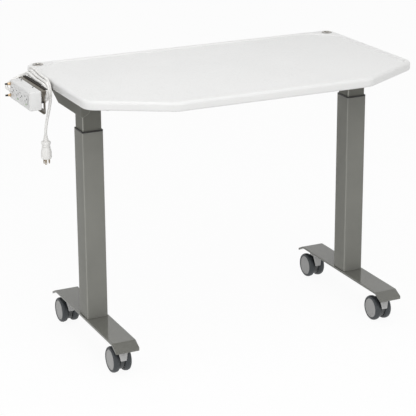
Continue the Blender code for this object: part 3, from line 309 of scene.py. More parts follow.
def to_the_left(steps):
    """A unit vector to the left of each step."""
    steps = steps / np.linalg.norm(steps, axis=1)[:, None]
    return np.stack([-steps[:, 1], steps[:, 0]], axis=1)


def sheet_outline(path, thickness):
    """The closed edge outline of a bent sheet that lies to the left of a path."""
    path = np.array(path, float)
    left = to_the_left(np.diff(path, axis=0))
    before, after = np.vstack([left[:1], left]), np.vstack([left, left[-1:]])
    miter = (before + after) / (1 + (before * after).sum(axis=1))[:, None]
    return [tuple(place) for place in path] + [tuple(place) for place in (path + miter * thickness)[::-1]]


def mesh_of(shape, name):
    bmesh.ops.recalc_face_normals(shape, faces=shape.faces)
    mesh = bpy.data.meshes.new(name)
    shape.to_mesh(mesh)
    shape.free()
    return mesh


def loft(rings, closed=False):
    """A skin through rings of equal length, capped at both ends unless it closes on itself."""
    shape = bmesh.new()
    made = [[shape.verts.new(place) for place in ring] for ring in rings]
    pairs = list(zip(made, made[1:]))
    if closed:
        pairs.append((made[-1], made[0]))
    for low, high in pairs:
        for i in range(len(low)):
            j = (i + 1) % len(low)
            shape.faces.new((low[i], low[j], high[j], high[i]))
    if not closed:
        shape.faces.new(made[0][::-1])
        shape.faces.new(made[-1])
    return mesh_of(shape, "loft")


def polygon(radius, count):
    angles = np.linspace(0, 2 * math.pi, count, endpoint=False)
    return [(radius * math.cos(a), radius * math.sin(a)) for a in angles]


def turned(profile, steps=72, closed=False):
    """A profile of (radius, height) points turned about Z."""
    return loft([[(x, y, z) for x, y in polygon(r, steps)] for r, z in profile], closed)


def rod(radius, low, high, steps):
    return turned([(radius, low), (radius, high)], steps)


def quarter_turn(axis, way=1):
    return Matrix.Rotation(way * math.pi / 2, 4, axis)


PLANES = {
    "X": Matrix(((0, 0, 1, 0), (1, 0, 0, 0), (0, 1, 0, 0), (0, 0, 0, 1))),
    "Y": Matrix(((1, 0, 0, 0), (0, 0, -1, 0), (0, 1, 0, 0), (0, 0, 0, 1))),
    "Z": Matrix(),
}


def evaluated(obj):
    """The mesh of an object with its modifiers applied. The object and its helpers are then removed."""
    bpy.context.view_layer.update()
    graph = bpy.context.evaluated_depsgraph_get()
    settled = obj.evaluated_get(graph)
    mesh = bpy.data.meshes.new_from_object(settled, preserve_all_data_layers=True, depsgraph=graph)
    helpers = [step.object for step in obj.modifiers if step.type == "BOOLEAN"]
    for spent in [obj, *helpers]:
        bpy.data.objects.remove(spent)
    return mesh


def placed(name, data):
    obj = bpy.data.objects.new(name, data)
    bpy.context.scene.collection.objects.link(obj)
    return obj


def carrier(data):
    return placed("carrier", data)


def extruded(outlines, depth, axis):
    """Flat outlines, holes among them, extruded both ways along one axis."""
    curve = bpy.data.curves.new("outline", "CURVE")
    curve.dimensions = "2D"
    curve.fill_mode = "BOTH"
    curve.extrude = depth / 2
    for outline in outlines:
        spline = curve.splines.new("POLY")
        spline.points.add(len(outline) - 1)
        for point, (u, v) in zip(spline.points, outline):
            point.co = (u, v, 0, 1)
        spline.use_cyclic_u = True
    shape = bmesh.new()
    shape.from_mesh(evaluated(carrier(curve)))
    bmesh.ops.remove_doubles(shape, verts=shape.verts, dist=1e-6)
    bmesh.ops.dissolve_limit(shape, angle_limit=0.001, verts=shape.verts, edges=shape.edges)
    mesh = mesh_of(shape, "extruded")
    mesh.transform(PLANES[axis])
    return mesh


def block(width, depth, height):
    return extruded([rectangle(width, depth)], height, "Z")


def slab(width, height, radius, points, depth, axis):
    """A rectangle with round corners, extruded."""
    return extruded([rounded(rectangle(width, height), radius, points)], depth, axis)


def moved(mesh, place=(0, 0, 0), turn=None):
    if turn is not None:
        mesh.transform(turn)
    mesh.transform(Matrix.Translation(place))
    return mesh


def combine(obj, operation, other):
    step = obj.modifiers.new(operation.lower(), "BOOLEAN")
    step.operation = operation
    step.solver = "EXACT"
    step.object = carrier(other)


def common(mesh, other):
    """What two meshes share."""
    obj = carrier(mesh)
    combine(obj, "INTERSECT", other)
    return evaluated(obj)


def shaped(mesh, cuts=(), joins=(), edge=0.0, segments=3, angle=SHARP_ANGLE, trim=False):
    """A mesh after its Booleans, its sharp edges rounded. Trim puts the edges in material slot 1."""
    obj = carrier(mesh)
    for other in joins:
        combine(obj, "UNION", other)
    for other in cuts:
        combine(obj, "DIFFERENCE", other)
    mesh = evaluated(obj)
    mesh.shade_smooth()
    mesh.set_sharp_from_angle(angle=math.radians(angle))
    if not edge:
        return mesh
    if trim:
        mesh.materials.append(None)
        mesh.materials.append(None)
    obj = carrier(mesh)
    bevel = obj.modifiers.new("bevel", "BEVEL")
    bevel.material = 1 if trim else -1
    bevel.width = edge
    bevel.segments = segments
    bevel.limit_method = "ANGLE"
    bevel.angle_limit = math.radians(angle)
    bevel.harden_normals = True
    return evaluated(obj)


def joined(*meshes, angle=SHARP_ANGLE):
    """Several meshes as one, sharp where faces turn by more than an angle."""
    shape = bmesh.new()
    for mesh in meshes:
        shape.from_mesh(mesh)
    mesh = bpy.data.meshes.new("joined")
    shape.to_mesh(mesh)
    shape.free()
    mesh.set_sharp_from_angle(angle=math.radians(angle))
    return mesh


BODY_NAMES = {empty: name for name, empty in frame["bodies"].items()}


def piece(name, mesh, look, slot, *nodes, body=None, place=(0, 0, 0), turn=None):
    """A finished piece in the frame, riding with its CAD nodes' body in their place."""
    moved(mesh, place, turn)
    mesh.transform(Matrix.Translation(TABLE))
    coats = look if isinstance(look, tuple) else (look,)
    if len(coats) == 1:
        mesh.materials.clear()
    for i, coat in enumerate(coats):
        if i < len(mesh.materials):
            mesh.materials[i] = coat
        else:
            mesh.materials.append(coat)
    obj = placed(name, mesh)
    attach(obj, body or BODY_NAMES[frame["nodes"][nodes[0]].parent])
    if nodes:
        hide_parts(*nodes)
    return obj


# Materials
def linear(colour):
    """A hex colour's three channels as linear light."""
    channels = [int(colour[i : i + 2], 16) / 255 for i in (0, 2, 4)]
    return [c / 12.92 if c <= 0.04045 else ((c + 0.055) / 1.055) ** 2.4 for c in channels]


def node(tree, kind, inputs=None, **settings):
    """Adds a node with its settings. An input that is a socket is linked, and any other is set."""
    made = tree.nodes.new(kind)
    for key, value in settings.items():
        setattr(made, key, value)
    for key, value in (inputs or {}).items():
        if isinstance(value, bpy.types.NodeSocket):
            tree.links.new(value, made.inputs[key])
        else:
            made.inputs[key].default_value = value
    return made


def finish(name, colours, patch, grain, depth, rough, metallic=0.0, specular=0.5):
    """A material whose tone drifts between two colours and whose skin has a fine grain. Sizes in metres."""
    made = bpy.data.materials.new(name)
    made.use_nodes = True
    tree = made.node_tree
    shader = tree.nodes["Principled BSDF"]
    place = node(tree, "ShaderNodeTexCoord").outputs["Object"]
    drift = node(
        tree, "ShaderNodeTexNoise", {"Vector": place, "Scale": 1 / patch, "Detail": 3.0, "Roughness": 0.6}
    )
    light, dark = [(*linear(colour), 1.0) for colour in colours.split()]
    tone = node(tree, "ShaderNodeMix", {0: drift.outputs["Fac"], 6: dark, 7: light}, data_type="RGBA")
    skin = node(tree, "ShaderNodeTexNoise", {"Vector": place, "Scale": 1 / grain, "Detail": 2.0})
    spread = {"From Min": 0.3, "From Max": 0.7, "To Min": rough[0], "To Max": rough[1]}
    gloss = node(tree, "ShaderNodeMapRange", {"Value": skin.outputs["Fac"], **spread})
    bump = node(tree, "ShaderNodeBump", {"Height": skin.outputs["Fac"], "Strength": 1.0, "Distance": depth})
    tree.links.new(tone.outputs[2], shader.inputs["Base Color"])
    tree.links.new(gloss.outputs["Result"], shader.inputs["Roughness"])
    tree.links.new(bump.outputs["Normal"], shader.inputs["Normal"])
    shader.inputs["Metallic"].default_value = metallic
    shader.inputs["Specular IOR Level"].default_value = specular
    return made


# Thermoformed ABS: a clean white with a soft satin sheen
ABS = finish("thermoformed ABS", "E9E9E8 E2E2E1", 0.18, 0.0016, 0.00001, (0.26, 0.36), specular=0.3)
# Powder coat of the columns: warm grey with a soft sheen and a faint orange peel
COLUMN_COAT = finish(
    "satin powder coat", "878781 7D7D78", 0.09, 0.0022, 0.000008, (0.30, 0.40), specular=0.04
)
# The same coat on the feet, glossy enough for the foot to mirror the column
POWDER_COAT = finish(
    "grey powder coat", "71716B 696964", 0.09, 0.0022, 0.000004, (0.08, 0.14), specular=0.45
)
# The same coat on the arms and inner tubes, painted a shade darker than the columns as painted shade under
# the top
SHADED_COAT = finish("powder coat with painted shade", "767670 6D6D67", 0.09, 0.0022, 0.000008, (0.30, 0.40), specular=0.04)
# Painted highlights on the coats: paler lines on corners and cut edges that stand in for the glint of light
# along them
CORNER_HIGHLIGHT_COAT = finish(
    "powder coat painted highlight", "94948E 8A8A84", 0.02, 0.0022, 0.000004, (0.10, 0.18), specular=0.4
)
EDGE_HIGHLIGHT_COAT = finish("shaded coat painted highlight", "A6A6A0 98988F", 0.02, 0.0022, 0.000004, (0.10, 0.18), specular=0.4)
# Bracket coat: brown-grey, its bends catching thin highlights
BRONZE_COAT = finish("bronze powder coat", "625C50 575146", 0.05, 0.0020, 0.000015, (0.30, 0.42))
# Acetal and nylon: near black and dull
NYLON = finish("black nylon", "22211F 1A1918", 0.02, 0.0008, 0.00001, (0.40, 0.55))
# Nylon of the webs between the wheels: dark grey as painted shade, so that the gap shows depth
SHADED_WEB_NYLON = finish("web nylon with painted shade", "4A4C4D 3E4041", 0.02, 0.0009, 0.00002, (0.38, 0.50))
# A brown-black, quite matt strip: painted shade in the hollow between the bracket's lip and the cord
SHADE_STRIP_RUBBER = finish("black strip of painted shade", "27231E 1F1B17", 0.02, 0.0010, 0.00002, (0.60, 0.75), specular=0.25)
# Polyurethane tread: cool dark grey with a dry sheen
TREAD = finish("polyurethane tread", "414548 373B3E", 0.02, 0.0011, 0.00003, (0.42, 0.56))
# Glass-filled nylon of the discs: light grey, slightly cloudy
HUB_NYLON = finish("glass-filled nylon", "A5A5A4 999998", 0.02, 0.0009, 0.00002, (0.36, 0.48))
# Plain nylon of the hoods: painted a paler grey than the discs, painted light that lifts the nose out of
# the foot's shade
HOOD_NYLON_PAINTED_LIGHT = finish("grey nylon", "C3C3C2 B8B8B7", 0.02, 0.0009, 0.00002, (0.34, 0.46))
# Polycarbonate housing: a greyer white than the top, with a soft sheen
HOUSING = finish("polycarbonate housing", "DFDFDE D6D6D5", 0.05, 0.0010, 0.00001, (0.28, 0.38))
# Soft PVC of cord and plug: warm white, soft sheen
PVC = finish("soft PVC", "EDECEA E4E3E0", 0.03, 0.0012, 0.00002, (0.34, 0.46))
# Brass: warm, with a dulled surface
BRASS = finish("brass", "D8C0A0 C8AE8C", 0.006, 0.0006, 0.00001, (0.22, 0.36), metallic=1.0)
# Nickel plate of the plug's contacts: a warm grey metal, with dark and light patches painted into its
# colour as reflections
NICKEL_PAINTED_REFLECTION = finish("nickel plated brass", "C4B7A4 6B5F51", 0.004, 0.0006, 0.00001, (0.20, 0.34), metallic=1.0)
# Polished stainless steel: dark and light patches painted into its colour as a reflection of the room
POLISHED_PAINTED_REFLECTION = finish(
    "polished stainless steel", "CFCCC6 57524C", 0.006, 0.0009, 0.000004, (0.06, 0.12), metallic=1.0
)
# Zinc plate: a grey metal with a broken shine
ZINC = finish("zinc plated steel", "B8B6B1 9F9D98", 0.008, 0.0007, 0.00001, (0.24, 0.40), metallic=1.0)
# Green enamel of the marker dots
ENAMEL = finish("green enamel", "86C45E 78B852", 0.004, 0.0006, 0.000004, (0.30, 0.40))


# Work top
def inset(corners, by):
    """A convex outline's corners after each side, counter-clockwise, moves inwards."""
    corners = np.array(corners, float)
    inward = to_the_left(np.roll(corners, -1, axis=0) - corners)
    result = []
    for i in range(len(corners)):
        reach = np.array([inward[i - 1] @ corners[i], inward[i] @ corners[i]]) + by
        result.append(tuple(np.linalg.solve(np.stack([inward[i - 1], inward[i]]), reach)))
    return result


def loop(corners, radii, counts, z):
    ring = []
    for i, corner in enumerate(corners):
        ring += arc(corners[i - 1], corner, corners[(i + 1) % len(corners)], radii[i], counts[i])
    return [(x, y, z) for x, y in ring]


def top_mesh():
    """The moulded top as rings: from the underside, round the rim, over the lip and down to the dish."""
    front = TOP_FRONT_STRAIGHT / 2
    rim = [(HALF_TOP, TOP_REAR), (-HALF_TOP, TOP_REAR), (-HALF_TOP, -TOP_SIDE_FRONT)]
    rim += [(-front, -TOP_FRONT), (front, -TOP_FRONT), (HALF_TOP, -TOP_SIDE_FRONT)]
    right, left, *rest = inset(rim, LIP_WIDTH)
    cut = DISH_CORNER_CUT
    dish = [(right[0], right[1] - cut), (right[0] - cut, right[1])]
    dish += [(left[0] + cut, left[1]), (left[0], left[1] - cut), *rest]

    def outer(by, z):
        radii = [TOP_REAR_RADIUS - by] * 2 + [TOP_FRONT_RADIUS - by] * 4
        return loop(inset(rim, by), radii, [2 * CORNER_POINTS] * 2 + [CORNER_POINTS] * 4, z)

    def inner(by, z):
        radii = [DISH_CORNER_RADIUS - by] * 4 + [TOP_FRONT_RADIUS - LIP_WIDTH - by] * 4
        return loop(inset(dish, by), radii, [CORNER_POINTS] * 8, z)

    rings = []
    for angle in np.linspace(0, math.pi / 2, LIP_BOTTOM_RINGS):
        z = TOP_BOTTOM + LIP_BOTTOM_RADIUS * (1 - math.cos(angle))
        rings.append(outer(LIP_BOTTOM_RADIUS * (1 - math.sin(angle)), z))
    for angle in np.linspace(0, math.pi / 2, LIP_TOP_RINGS):
        z = TOP_HEIGHT - LIP_TOP_RADIUS * (1 - math.sin(angle))
        rings.append(outer(LIP_TOP_RADIUS * (1 - math.cos(angle)), z))
    for t in np.linspace(0, 1, DISH_RINGS):
        z = TOP_HEIGHT - DISH_DEPTH * (1 - math.cos(math.pi * t)) / 2
        rings.append(inner(-LIP_SLOPE * (1 - t), z))
    holes = []
    for _, sign in SIDES:
        hole = rod(SOCKET_HOLE_RADIUS, -SOCKET_HOLE_DEPTH, 0.02, 48)
        holes.append(moved(hole, (sign * SOCKET_X, SOCKET_Y, TOP_HEIGHT)))
    return shaped(loft(rings), cuts=holes, angle=30)


def socket_mesh():
    """A polished ferrule: a rounded flange on the corner and a blind bore."""
    line = [(0.0080, -0.0178), (0.0080, 0.0004), (0.0094, 0.0021), (0.0150, 0.0021), (0.0168, GAP)]
    line += [(0.0122, GAP), (0.0122, -0.0195)]
    return shaped(turned([(ON_AXIS, -0.0178), *eased(line, 0.0012, 6), (ON_AXIS, -0.0195)]))


piece("moulded_top", top_mesh(), ABS, "white_moulding", "work_top")
for side, sign in SIDES:
    at = {"place": (sign * SOCKET_X, SOCKET_Y, TOP_HEIGHT)}
    # The sockets' dark and light patches are a painted reflection
    piece(f"steel_socket_{side}", socket_mesh(), POLISHED_PAINTED_REFLECTION, "polished_steel", f"rod_socket_{side}", **at)


# Legs
def square_tube(size, wall, radius, low, high):
    """A square tube, its rounded corners and its end edges in material slot 1, which carries a painted
    highlight.
    """
    outer = rounded(rectangle(size, size), radius, 9)
    inner = rounded(rectangle(size - 2 * wall, size - 2 * wall), radius - wall, 5)
    tube = extruded([outer, inner], high - low, "Z")
    tube = shaped(moved(tube, (0, 0, (low + high) / 2)), edge=0.0008, segments=2, trim=True)
    # The faces of the rounded corners go to slot 1: a painted highlight along each corner
    highlight_corner_share = 0.42
    for face in tube.polygons:
        if min(abs(face.normal.x), abs(face.normal.y)) > highlight_corner_share:
            face.material_index = 1
    return tube


def collar_mesh():
    """The black guide ring that caps the outer tube, with its sleeve inside."""
    bore = rounded(rectangle(INNER_TUBE + 2 * GAP, INNER_TUBE + 2 * GAP), INNER_CORNER + GAP, 8)
    rim = extruded([rounded(rectangle(OUTER_TUBE, OUTER_TUBE), OUTER_CORNER, 9), bore], COLLAR_RIM, "Z")
    sleeve = extruded([rounded(rectangle(SLEEVE_WIDTH, SLEEVE_WIDTH), 0.003, 6), bore], SLEEVE_LENGTH, "Z")
    rim = shaped(moved(rim, (0, 0, COLLAR_TOP - COLLAR_RIM / 2)), edge=0.0006)
    moved(sleeve, (0, 0, COLLAR_TOP - COLLAR_RIM - SLEEVE_LENGTH / 2))
    return joined(rim, sleeve, angle=20)


def arm_mesh(sign):
    """Bent sheet under the top: a web, two skirts and a front tab round the tube's outer corner."""
    half = ARM_WIDTH / 2
    skirt = [(ARM_SLOPE_FROM, ARM_BOTTOM), (ARM_REAR, UNDER_TOP - ARM_REAR_DEPTH), (ARM_REAR, UNDER_TOP)]
    skirt += [(-half, UNDER_TOP), (-half, ARM_BOTTOM)]
    start = sign * (half - ARM_CORNER)
    tab = sign * (half - TAB_WIDTH)
    inner = -sign * (half + ARM_WALL)
    below = ARM_BOTTOM - 0.05
    tab_top = ARM_WEB_BOTTOM - 0.004
    tab_cut = [
        (start, ARM_BOTTOM),
        *arc((start, ARM_BOTTOM), (tab, ARM_BOTTOM + TAB_RISE), (tab, UNDER_TOP), TAB_BEND, 8),
    ]
    tab_cut += [(tab, tab_top), (inner, tab_top), (inner, below), (start, below)]
    length = half + ARM_REAR
    middle_y = (ARM_REAR - half) / 2
    body = extruded([skirt], ARM_WIDTH + 0.02, "X")
    plan = moved(slab(ARM_WIDTH, length, ARM_CORNER, 8, 1.0, "Z"), (0, middle_y, UNDER_TOP))
    body = common(body, plan)
    void = slab(ARM_INSIDE, length - 2 * ARM_WALL, 0.0020, 5, 0.15, "Z")
    moved(void, (0, middle_y, ARM_WEB_BOTTOM - 0.075))
    front = moved(extruded([tab_cut], 2 * ARM_INNER_SETBACK, "Y"), (0, -half, 0))
    # The bevels take slot 1: a painted highlight along the tab and skirt edges
    body = shaped(body, cuts=(void, front), edge=0.0013, trim=True)
    plate = slab(ARM_WIDTH - 0.002, TONGUE_LENGTH, 0.006, 6, ARM_WALL, "Z")
    plate = shaped(plate, edge=0.0005, segments=2)
    return joined(body, moved(plate, (0, TONGUE_Y, UNDER_TOP - ARM_WALL / 2)), angle=20)


def foot_mesh():
    """A steel plate bent down at both ends, its corners rounded."""
    flat = FOOT_FLAT / 2
    low = FOOT_TOP - FOOT_LIP_DROP
    line = [(flat + FOOT_LIP_RUN, low), (flat, FOOT_TOP), (-flat, FOOT_TOP), (-flat - FOOT_LIP_RUN, low)]
    sheet = extruded([sheet_outline(eased(line, FOOT_BEND, 14), FOOT_THICKNESS)], 2 * FOOT_WIDTH, "X")
    plan = slab(FOOT_WIDTH, FOOT_FLAT + 2 * FOOT_LIP_RUN, FOOT_CORNER, 9, 1.0, "Z")
    return shaped(common(sheet, plan), edge=0.0010, trim=True)


for side, sign in SIDES:
    at = {"place": (sign * LEG_X, 0, 0)}
    outer = square_tube(OUTER_TUBE, OUTER_WALL, OUTER_CORNER, FOOT_TOP + GAP, OUTER_TOP)
    inner_low, inner_high = COLLAR_TOP - INNER_OVERLAP, ARM_WEB_BOTTOM - GAP
    inner = square_tube(INNER_TUBE, INNER_WALL, INNER_CORNER, inner_low, inner_high)
    # Slot 1 of the columns: a painted highlight on the corners and the top edge
    coats = (COLUMN_COAT, CORNER_HIGHLIGHT_COAT)
    piece(f"outer_leg_{side}", outer, coats, "grey_paint", f"outer_tube_{side}", **at)
    # Inner tubes and arms: the coat painted darker as painted shade, with painted highlights on corners and
    # cut edges in slot 1
    coats = (SHADED_COAT, EDGE_HIGHLIGHT_COAT)
    piece(f"inner_leg_{side}", inner, coats, "grey_paint", f"inner_tube_{side}", **at)
    piece(f"guide_ring_{side}", collar_mesh(), NYLON, "black_plastic", f"collar_{side}", **at)
    piece(f"sheet_arm_{side}", arm_mesh(sign), coats, "dark_paint", f"arm_{side}", **at)
    coats = (POWDER_COAT, SHADED_COAT)
    piece(f"bent_foot_{side}", foot_mesh(), coats, "grey_paint", f"foot_{side}", **at)


# Casters
def tyre_mesh():
    """Tread with a crowned face and round shoulders: heights from the wheel's inner face outwards."""
    seat = TYRE_SEAT_RADIUS + GAP
    crown = [(seat, 0.0005), (0.0318, 0.0), (0.0362, 0.0030), (WHEEL_RADIUS, 0.0095)]
    crown += [(WHEEL_RADIUS, 0.0120), (0.0362, 0.0172), (0.0322, 0.0199), (0.0300, 0.0197), (seat, 0.0188)]
    return shaped(turned(eased(crown, 0.0045, 5), 96, closed=True), angle=50)


def disc_mesh():
    """A shallow dish with a raised rim, a step and a domed middle, hollow on its inner side."""
    hollow = CORE_RADIUS + GAP
    face = [(hollow, 0.0050), (hollow, 0.0010), (TYRE_SEAT_RADIUS, 0.0010), (TYRE_SEAT_RADIUS, 0.0186)]
    face += [(0.0280, 0.0189), (0.0268, 0.0180), (0.0240, 0.0180), (0.0150, 0.0187), (0.0060, 0.0191)]
    return shaped(turned([(ON_AXIS, 0.0050), *eased(face, 0.0009, 5), (ON_AXIS, 0.0192)], 96))


def shaded_core_mesh():
    """A black ring inside a wheel, with its boss round the axle: painted shade on the wheel's inner side.
    """
    bore, back = 0.0031, 0.0048
    line = [(bore, 0.0003), (0.0075, 0.0003), (0.0085, 0.0026), (CORE_RADIUS, 0.0026), (CORE_RADIUS, back)]
    return shaped(turned([*eased(line, 0.0008, 5), (bore, back)], 72, closed=True))


def web_mesh():
    """The web between the wheels, painted dark as shade, which carries the axle and ends round, clear of
    the floor.
    """
    high = HOOD_BOTTOM + 0.004
    lobe = [
        (CASTER_TRAIL + WEB_RADIUS * math.cos(a), WHEEL_RADIUS + WEB_RADIUS * math.sin(a))
        for a in np.radians(np.linspace(205, 340, 19))
    ]
    rear = (CASTER_TRAIL + 0.0125, WHEEL_RADIUS + 0.024)
    web = [(-0.0145, high), (-0.0125, WHEEL_RADIUS + 0.004), *lobe, rear, (0.0165, high)]
    return shaped(extruded([rounded(web, 0.0035, 6)], WHEEL_GAP - 0.0020, "X"), edge=0.0008)


def hood_mesh():
    """Moulded hood: a collar under the plate and a tapering shield of three facets in front."""
    collar = [(ON_AXIS, HOOD_BOTTOM), (HOOD_RADIUS, HOOD_BOTTOM)]
    collar += [(HOOD_RADIUS, HOOD_TOP), (ON_AXIS, HOOD_TOP)]
    rings = []
    for t in np.linspace(0, 1, 8):
        z = SHIELD_TOP - (SHIELD_TOP - SHIELD_BOTTOM) * t
        half_width = HOOD_RADIUS - SHIELD_TAPER * t
        ring = []
        for radius, way in ((SHIELD_OUTSIDE, -1), (SHIELD_INSIDE, 1)):
            span = way * math.asin(half_width / SHIELD_SPAN)
            for a in (-span, -SHIELD_FACET * span, SHIELD_FACET * span, span):
                ring.append((radius * math.sin(a), -radius * math.cos(a), z))
        rings.append(ring)
    shield = shaped(loft(rings), edge=0.0008, angle=9)
    return joined(shaped(turned(eased(collar, 0.0012, 5), 56)), shield)


def stem_mesh():
    """Swivel stem: a plated flange under the plate, with its pin down into the hood."""
    top, bottom = CASTER_HEIGHT + 0.004, CASTER_HEIGHT - 0.030
    high, low = CASTER_HEIGHT - GAP, CASTER_HEIGHT - STEM_FLANGE
    line = [(ON_AXIS, top), (STEM_RADIUS, top), (STEM_RADIUS, high), (HOOD_RADIUS, high)]
    line += [(HOOD_RADIUS, low), (STEM_RADIUS, low), (STEM_RADIUS, bottom), (ON_AXIS, bottom)]
    return shaped(turned(line, 48))


for side, leg in SIDES:
    for end, way in ENDS:
        name = f"{side}_{end}"
        x, y = leg * LEG_X, way * CASTER_SPACING / 2
        at = {"place": (x, y, 0)}
        # The hood's paler grey is painted light on the nose
        piece(f"hood_moulding_{name}", hood_mesh(), HOOD_NYLON_PAINTED_LIGHT, "grey_plastic", f"caster_hood_{name}", **at)
        # The web's dark grey is painted shade between the wheels
        piece(f"axle_web_{name}", web_mesh(), SHADED_WEB_NYLON, "black_plastic", body=f"caster_{name}", **at)
        piece(f"swivel_stem_{name}", stem_mesh(), ZINC, "plated_steel", f"caster_stem_{name}", **at)
        for face, sign in SIDES:
            place = (x + sign * WHEEL_GAP / 2, y + CASTER_TRAIL, WHEEL_RADIUS)
            at = {"place": place, "turn": quarter_turn("Y", sign)}
            wheel = f"{name}_{face}"
            piece(f"tread_{wheel}", tyre_mesh(), TREAD, "tyre_rubber", f"tyre_{wheel}", **at)
            piece(f"disc_{wheel}", disc_mesh(), HUB_NYLON, "grey_plastic", f"hub_{wheel}", **at)
            # A black ring inside each wheel: painted shade on its inner side
            piece(f"core_{wheel}", shaded_core_mesh(), NYLON, "black_plastic", body=f"wheel_{wheel}", **at)

# The rail, the lift and the axles keep their own shapes
for node_name in frame["nodes"]:
    for start, look in (("cross_rail", SHADED_COAT), ("lift_", ZINC), ("caster_axle", ZINC)):
        if node_name.startswith(start):
            mesh = frame["nodes"][node_name].data
            mesh.materials.clear()
            mesh.materials.append(look)


# Outlet box
def housing_mesh():
    """The white box with round edges and pockets for the outlets."""
    box = shaped(block(BOX_DEPTH, BOX_LENGTH, BOX_HEIGHT), edge=0.0042, segments=6)
    moved(box, (BOX_FACE_X + BOX_DEPTH / 2, BOX_MIDDLE_Y, BOX_MIDDLE_Z))
    cuts = []
    for y, z in RECEPTACLES:
        length, height = RECEPTACLE_LENGTH + 2 * GAP, RECEPTACLE_HEIGHT + 2 * GAP
        pocket = slab(length, height, RECEPTACLE_RADIUS + GAP, 10, 0.0446, "X")
        cuts.append(moved(pocket, (BOX_FACE_X, y, z)))
    for z in BREAKER_LEVELS:
        hole = rod(BREAKER_HOLE, -0.0116, 0.01, 32)
        cuts.append(moved(hole, (BOX_FACE_X, BREAKER_Y, z), quarter_turn("Y", -1)))
    return shaped(box, cuts=cuts)


def outlet_mesh(y, z):
    """A duplex insert: two outlets on raised faces, each with two slots and an earth hole, black inside as
    painted shade.
    """
    plate = slab(RECEPTACLE_LENGTH, RECEPTACLE_HEIGHT, RECEPTACLE_RADIUS, 10, 0.0226, "X")
    plate = shaped(moved(plate, (BOX_FACE_X + 0.0106, y, z)), edge=0.0005, segments=2)
    front_x = BOX_FACE_X - 0.0007
    cuts, joins = [], []
    for _, way in ENDS:
        outlet_y = y + way * OUTLET_SPACING / 2
        face = slab(OUTLET_LENGTH, OUTLET_HEIGHT, OUTLET_RADIUS, 10, 0.0020, "X")
        joins.append(moved(face, (front_x + 0.0005, outlet_y, z)))
        slot_y = outlet_y + SLOT_SHIFT
        for _, rise in SIDES:
            slot = slab(SLOT_LENGTH, SLOT_WIDTH, 0.0004, 3, 0.030, "X")
            cuts.append(moved(slot, (front_x, slot_y, z + rise * SLOT_SPACING / 2)))
        hole = rod(EARTH_RADIUS, -0.015, 0.015, 32)
        cuts.append(moved(hole, (front_x, slot_y - EARTH_REACH, z), quarter_turn("Y")))
    insert = shaped(plate, cuts=cuts, joins=joins)
    # Faces deep in the slots and earth holes take slot 1, black: painted shade
    for face in insert.polygons:
        painted_shade_face = face.center.x > BOX_FACE_X + 0.003 and face.normal.x < 0.5
        if painted_shade_face and abs(face.center.y - y) < 0.030 and abs(face.center.z - z) < 0.014:
            face.material_index = 1
    return insert


def breaker_mesh():
    """Brass neck of a push-to-reset breaker: a six-sided nut, then a threaded neck."""
    nut = extruded([polygon(0.0050, 6), polygon(BREAKER_BORE, 32)], 0.0025, "Z")
    nut = moved(shaped(nut, edge=0.0003), (0, 0, 0.00155))
    line = [(BREAKER_BORE, -0.008), (0.0040, -0.008)]
    for turn in range(6):
        z = 0.0030 + turn * THREAD_PITCH
        line += [(THREAD_ROOT, z + rise) for rise in (0, 0.00025, 0.0004)] + [(0.0036, z + 0.0006)]
    line += [(0.0034, 0.0086), (BREAKER_BORE, 0.0086)]
    return joined(nut, shaped(turned(line, 40, closed=True)))


def button_mesh():
    line = [(ON_AXIS, -0.007), (0.0026, -0.007), (0.0026, 0.0156), (ON_AXIS, 0.0156)]
    return shaped(turned(eased(line, 0.0009, 6), 40))


def bracket_mesh():
    """The sheet from under the top, up past the rim, over the neck and down behind the box."""
    line = [(RISER_X + BRACKET_TONGUE, UNDER_TOP), (RISER_X, UNDER_TOP), (RISER_X, BRACKET_TOP)]
    line += [(PLATE_X, BRACKET_TOP), (PLATE_X, PLATE_BOTTOM), (PLATE_X - BRACKET_TOE, PLATE_BOTTOM)]
    length = BRACKET_REAR + BRACKET_PLATE_FRONT
    sheet = extruded([sheet_outline(eased(line, 0.0030, 7), BRACKET_SHEET)], length, "Y")
    moved(sheet, (0, (BRACKET_REAR - BRACKET_PLATE_FRONT) / 2, 0))
    flange_x = PLATE_X + BRACKET_FLANGE
    reach = RISER_X + 2 * BRACKET_TONGUE - flange_x
    cuts = []
    for edge, way in ((NECK_FRONT, -1), (NECK_REAR, 1)):
        cut = block(reach, length, 0.25)
        cuts.append(moved(cut, (flange_x + reach / 2, edge + way * length / 2, BRACKET_TOP)))
    run = BRACKET_PLATE_FRONT - BRACKET_FLANGE_FRONT
    corner = [
        (-BRACKET_PLATE_FRONT - run, BRACKET_TOP - 2 * BRACKET_CORNER_DROP),
        (run - BRACKET_FLANGE_FRONT, BRACKET_TOP + BRACKET_CORNER_DROP),
        (-BRACKET_PLATE_FRONT - run, BRACKET_TOP + BRACKET_CORNER_DROP),
    ]
    cuts.append(moved(extruded([corner], 4 * BRACKET_FLANGE, "X"), (PLATE_X, 0, 0)))
    slope = BRACKET_CORNER_DROP / run
    front, low = BRACKET_STRAP - BRACKET_PLATE_FRONT, PLATE_BOTTOM + BRACKET_STRIP
    front_high = BRACKET_TOP - BRACKET_CORNER_DROP + slope * BRACKET_STRAP - BRACKET_STRIP
    high = BRACKET_TOP - BRACKET_STRIP - 0.0030
    slope_end = front + (high - front_high) / slope
    window = [(front, low), (WINDOW_REAR, low), (WINDOW_REAR, high), (slope_end, high), (front, front_high)]
    cuts.append(moved(extruded([window], BRACKET_FLANGE, "X"), (PLATE_X, 0, 0)))
    tab = [(0.0025, -0.0010), (0.0025, -0.0300), (0.0060, -0.0300), (0.0150, -0.0080), (0.0150, -0.0010)]
    tab = shaped(extruded([tab], BRACKET_SHEET, "Y"), edge=0.0005, segments=2)
    moved(tab, (PLATE_X, -0.0152, BRACKET_TOP))
    return joined(shaped(sheet, cuts=cuts, edge=0.0006), tab, angle=20)


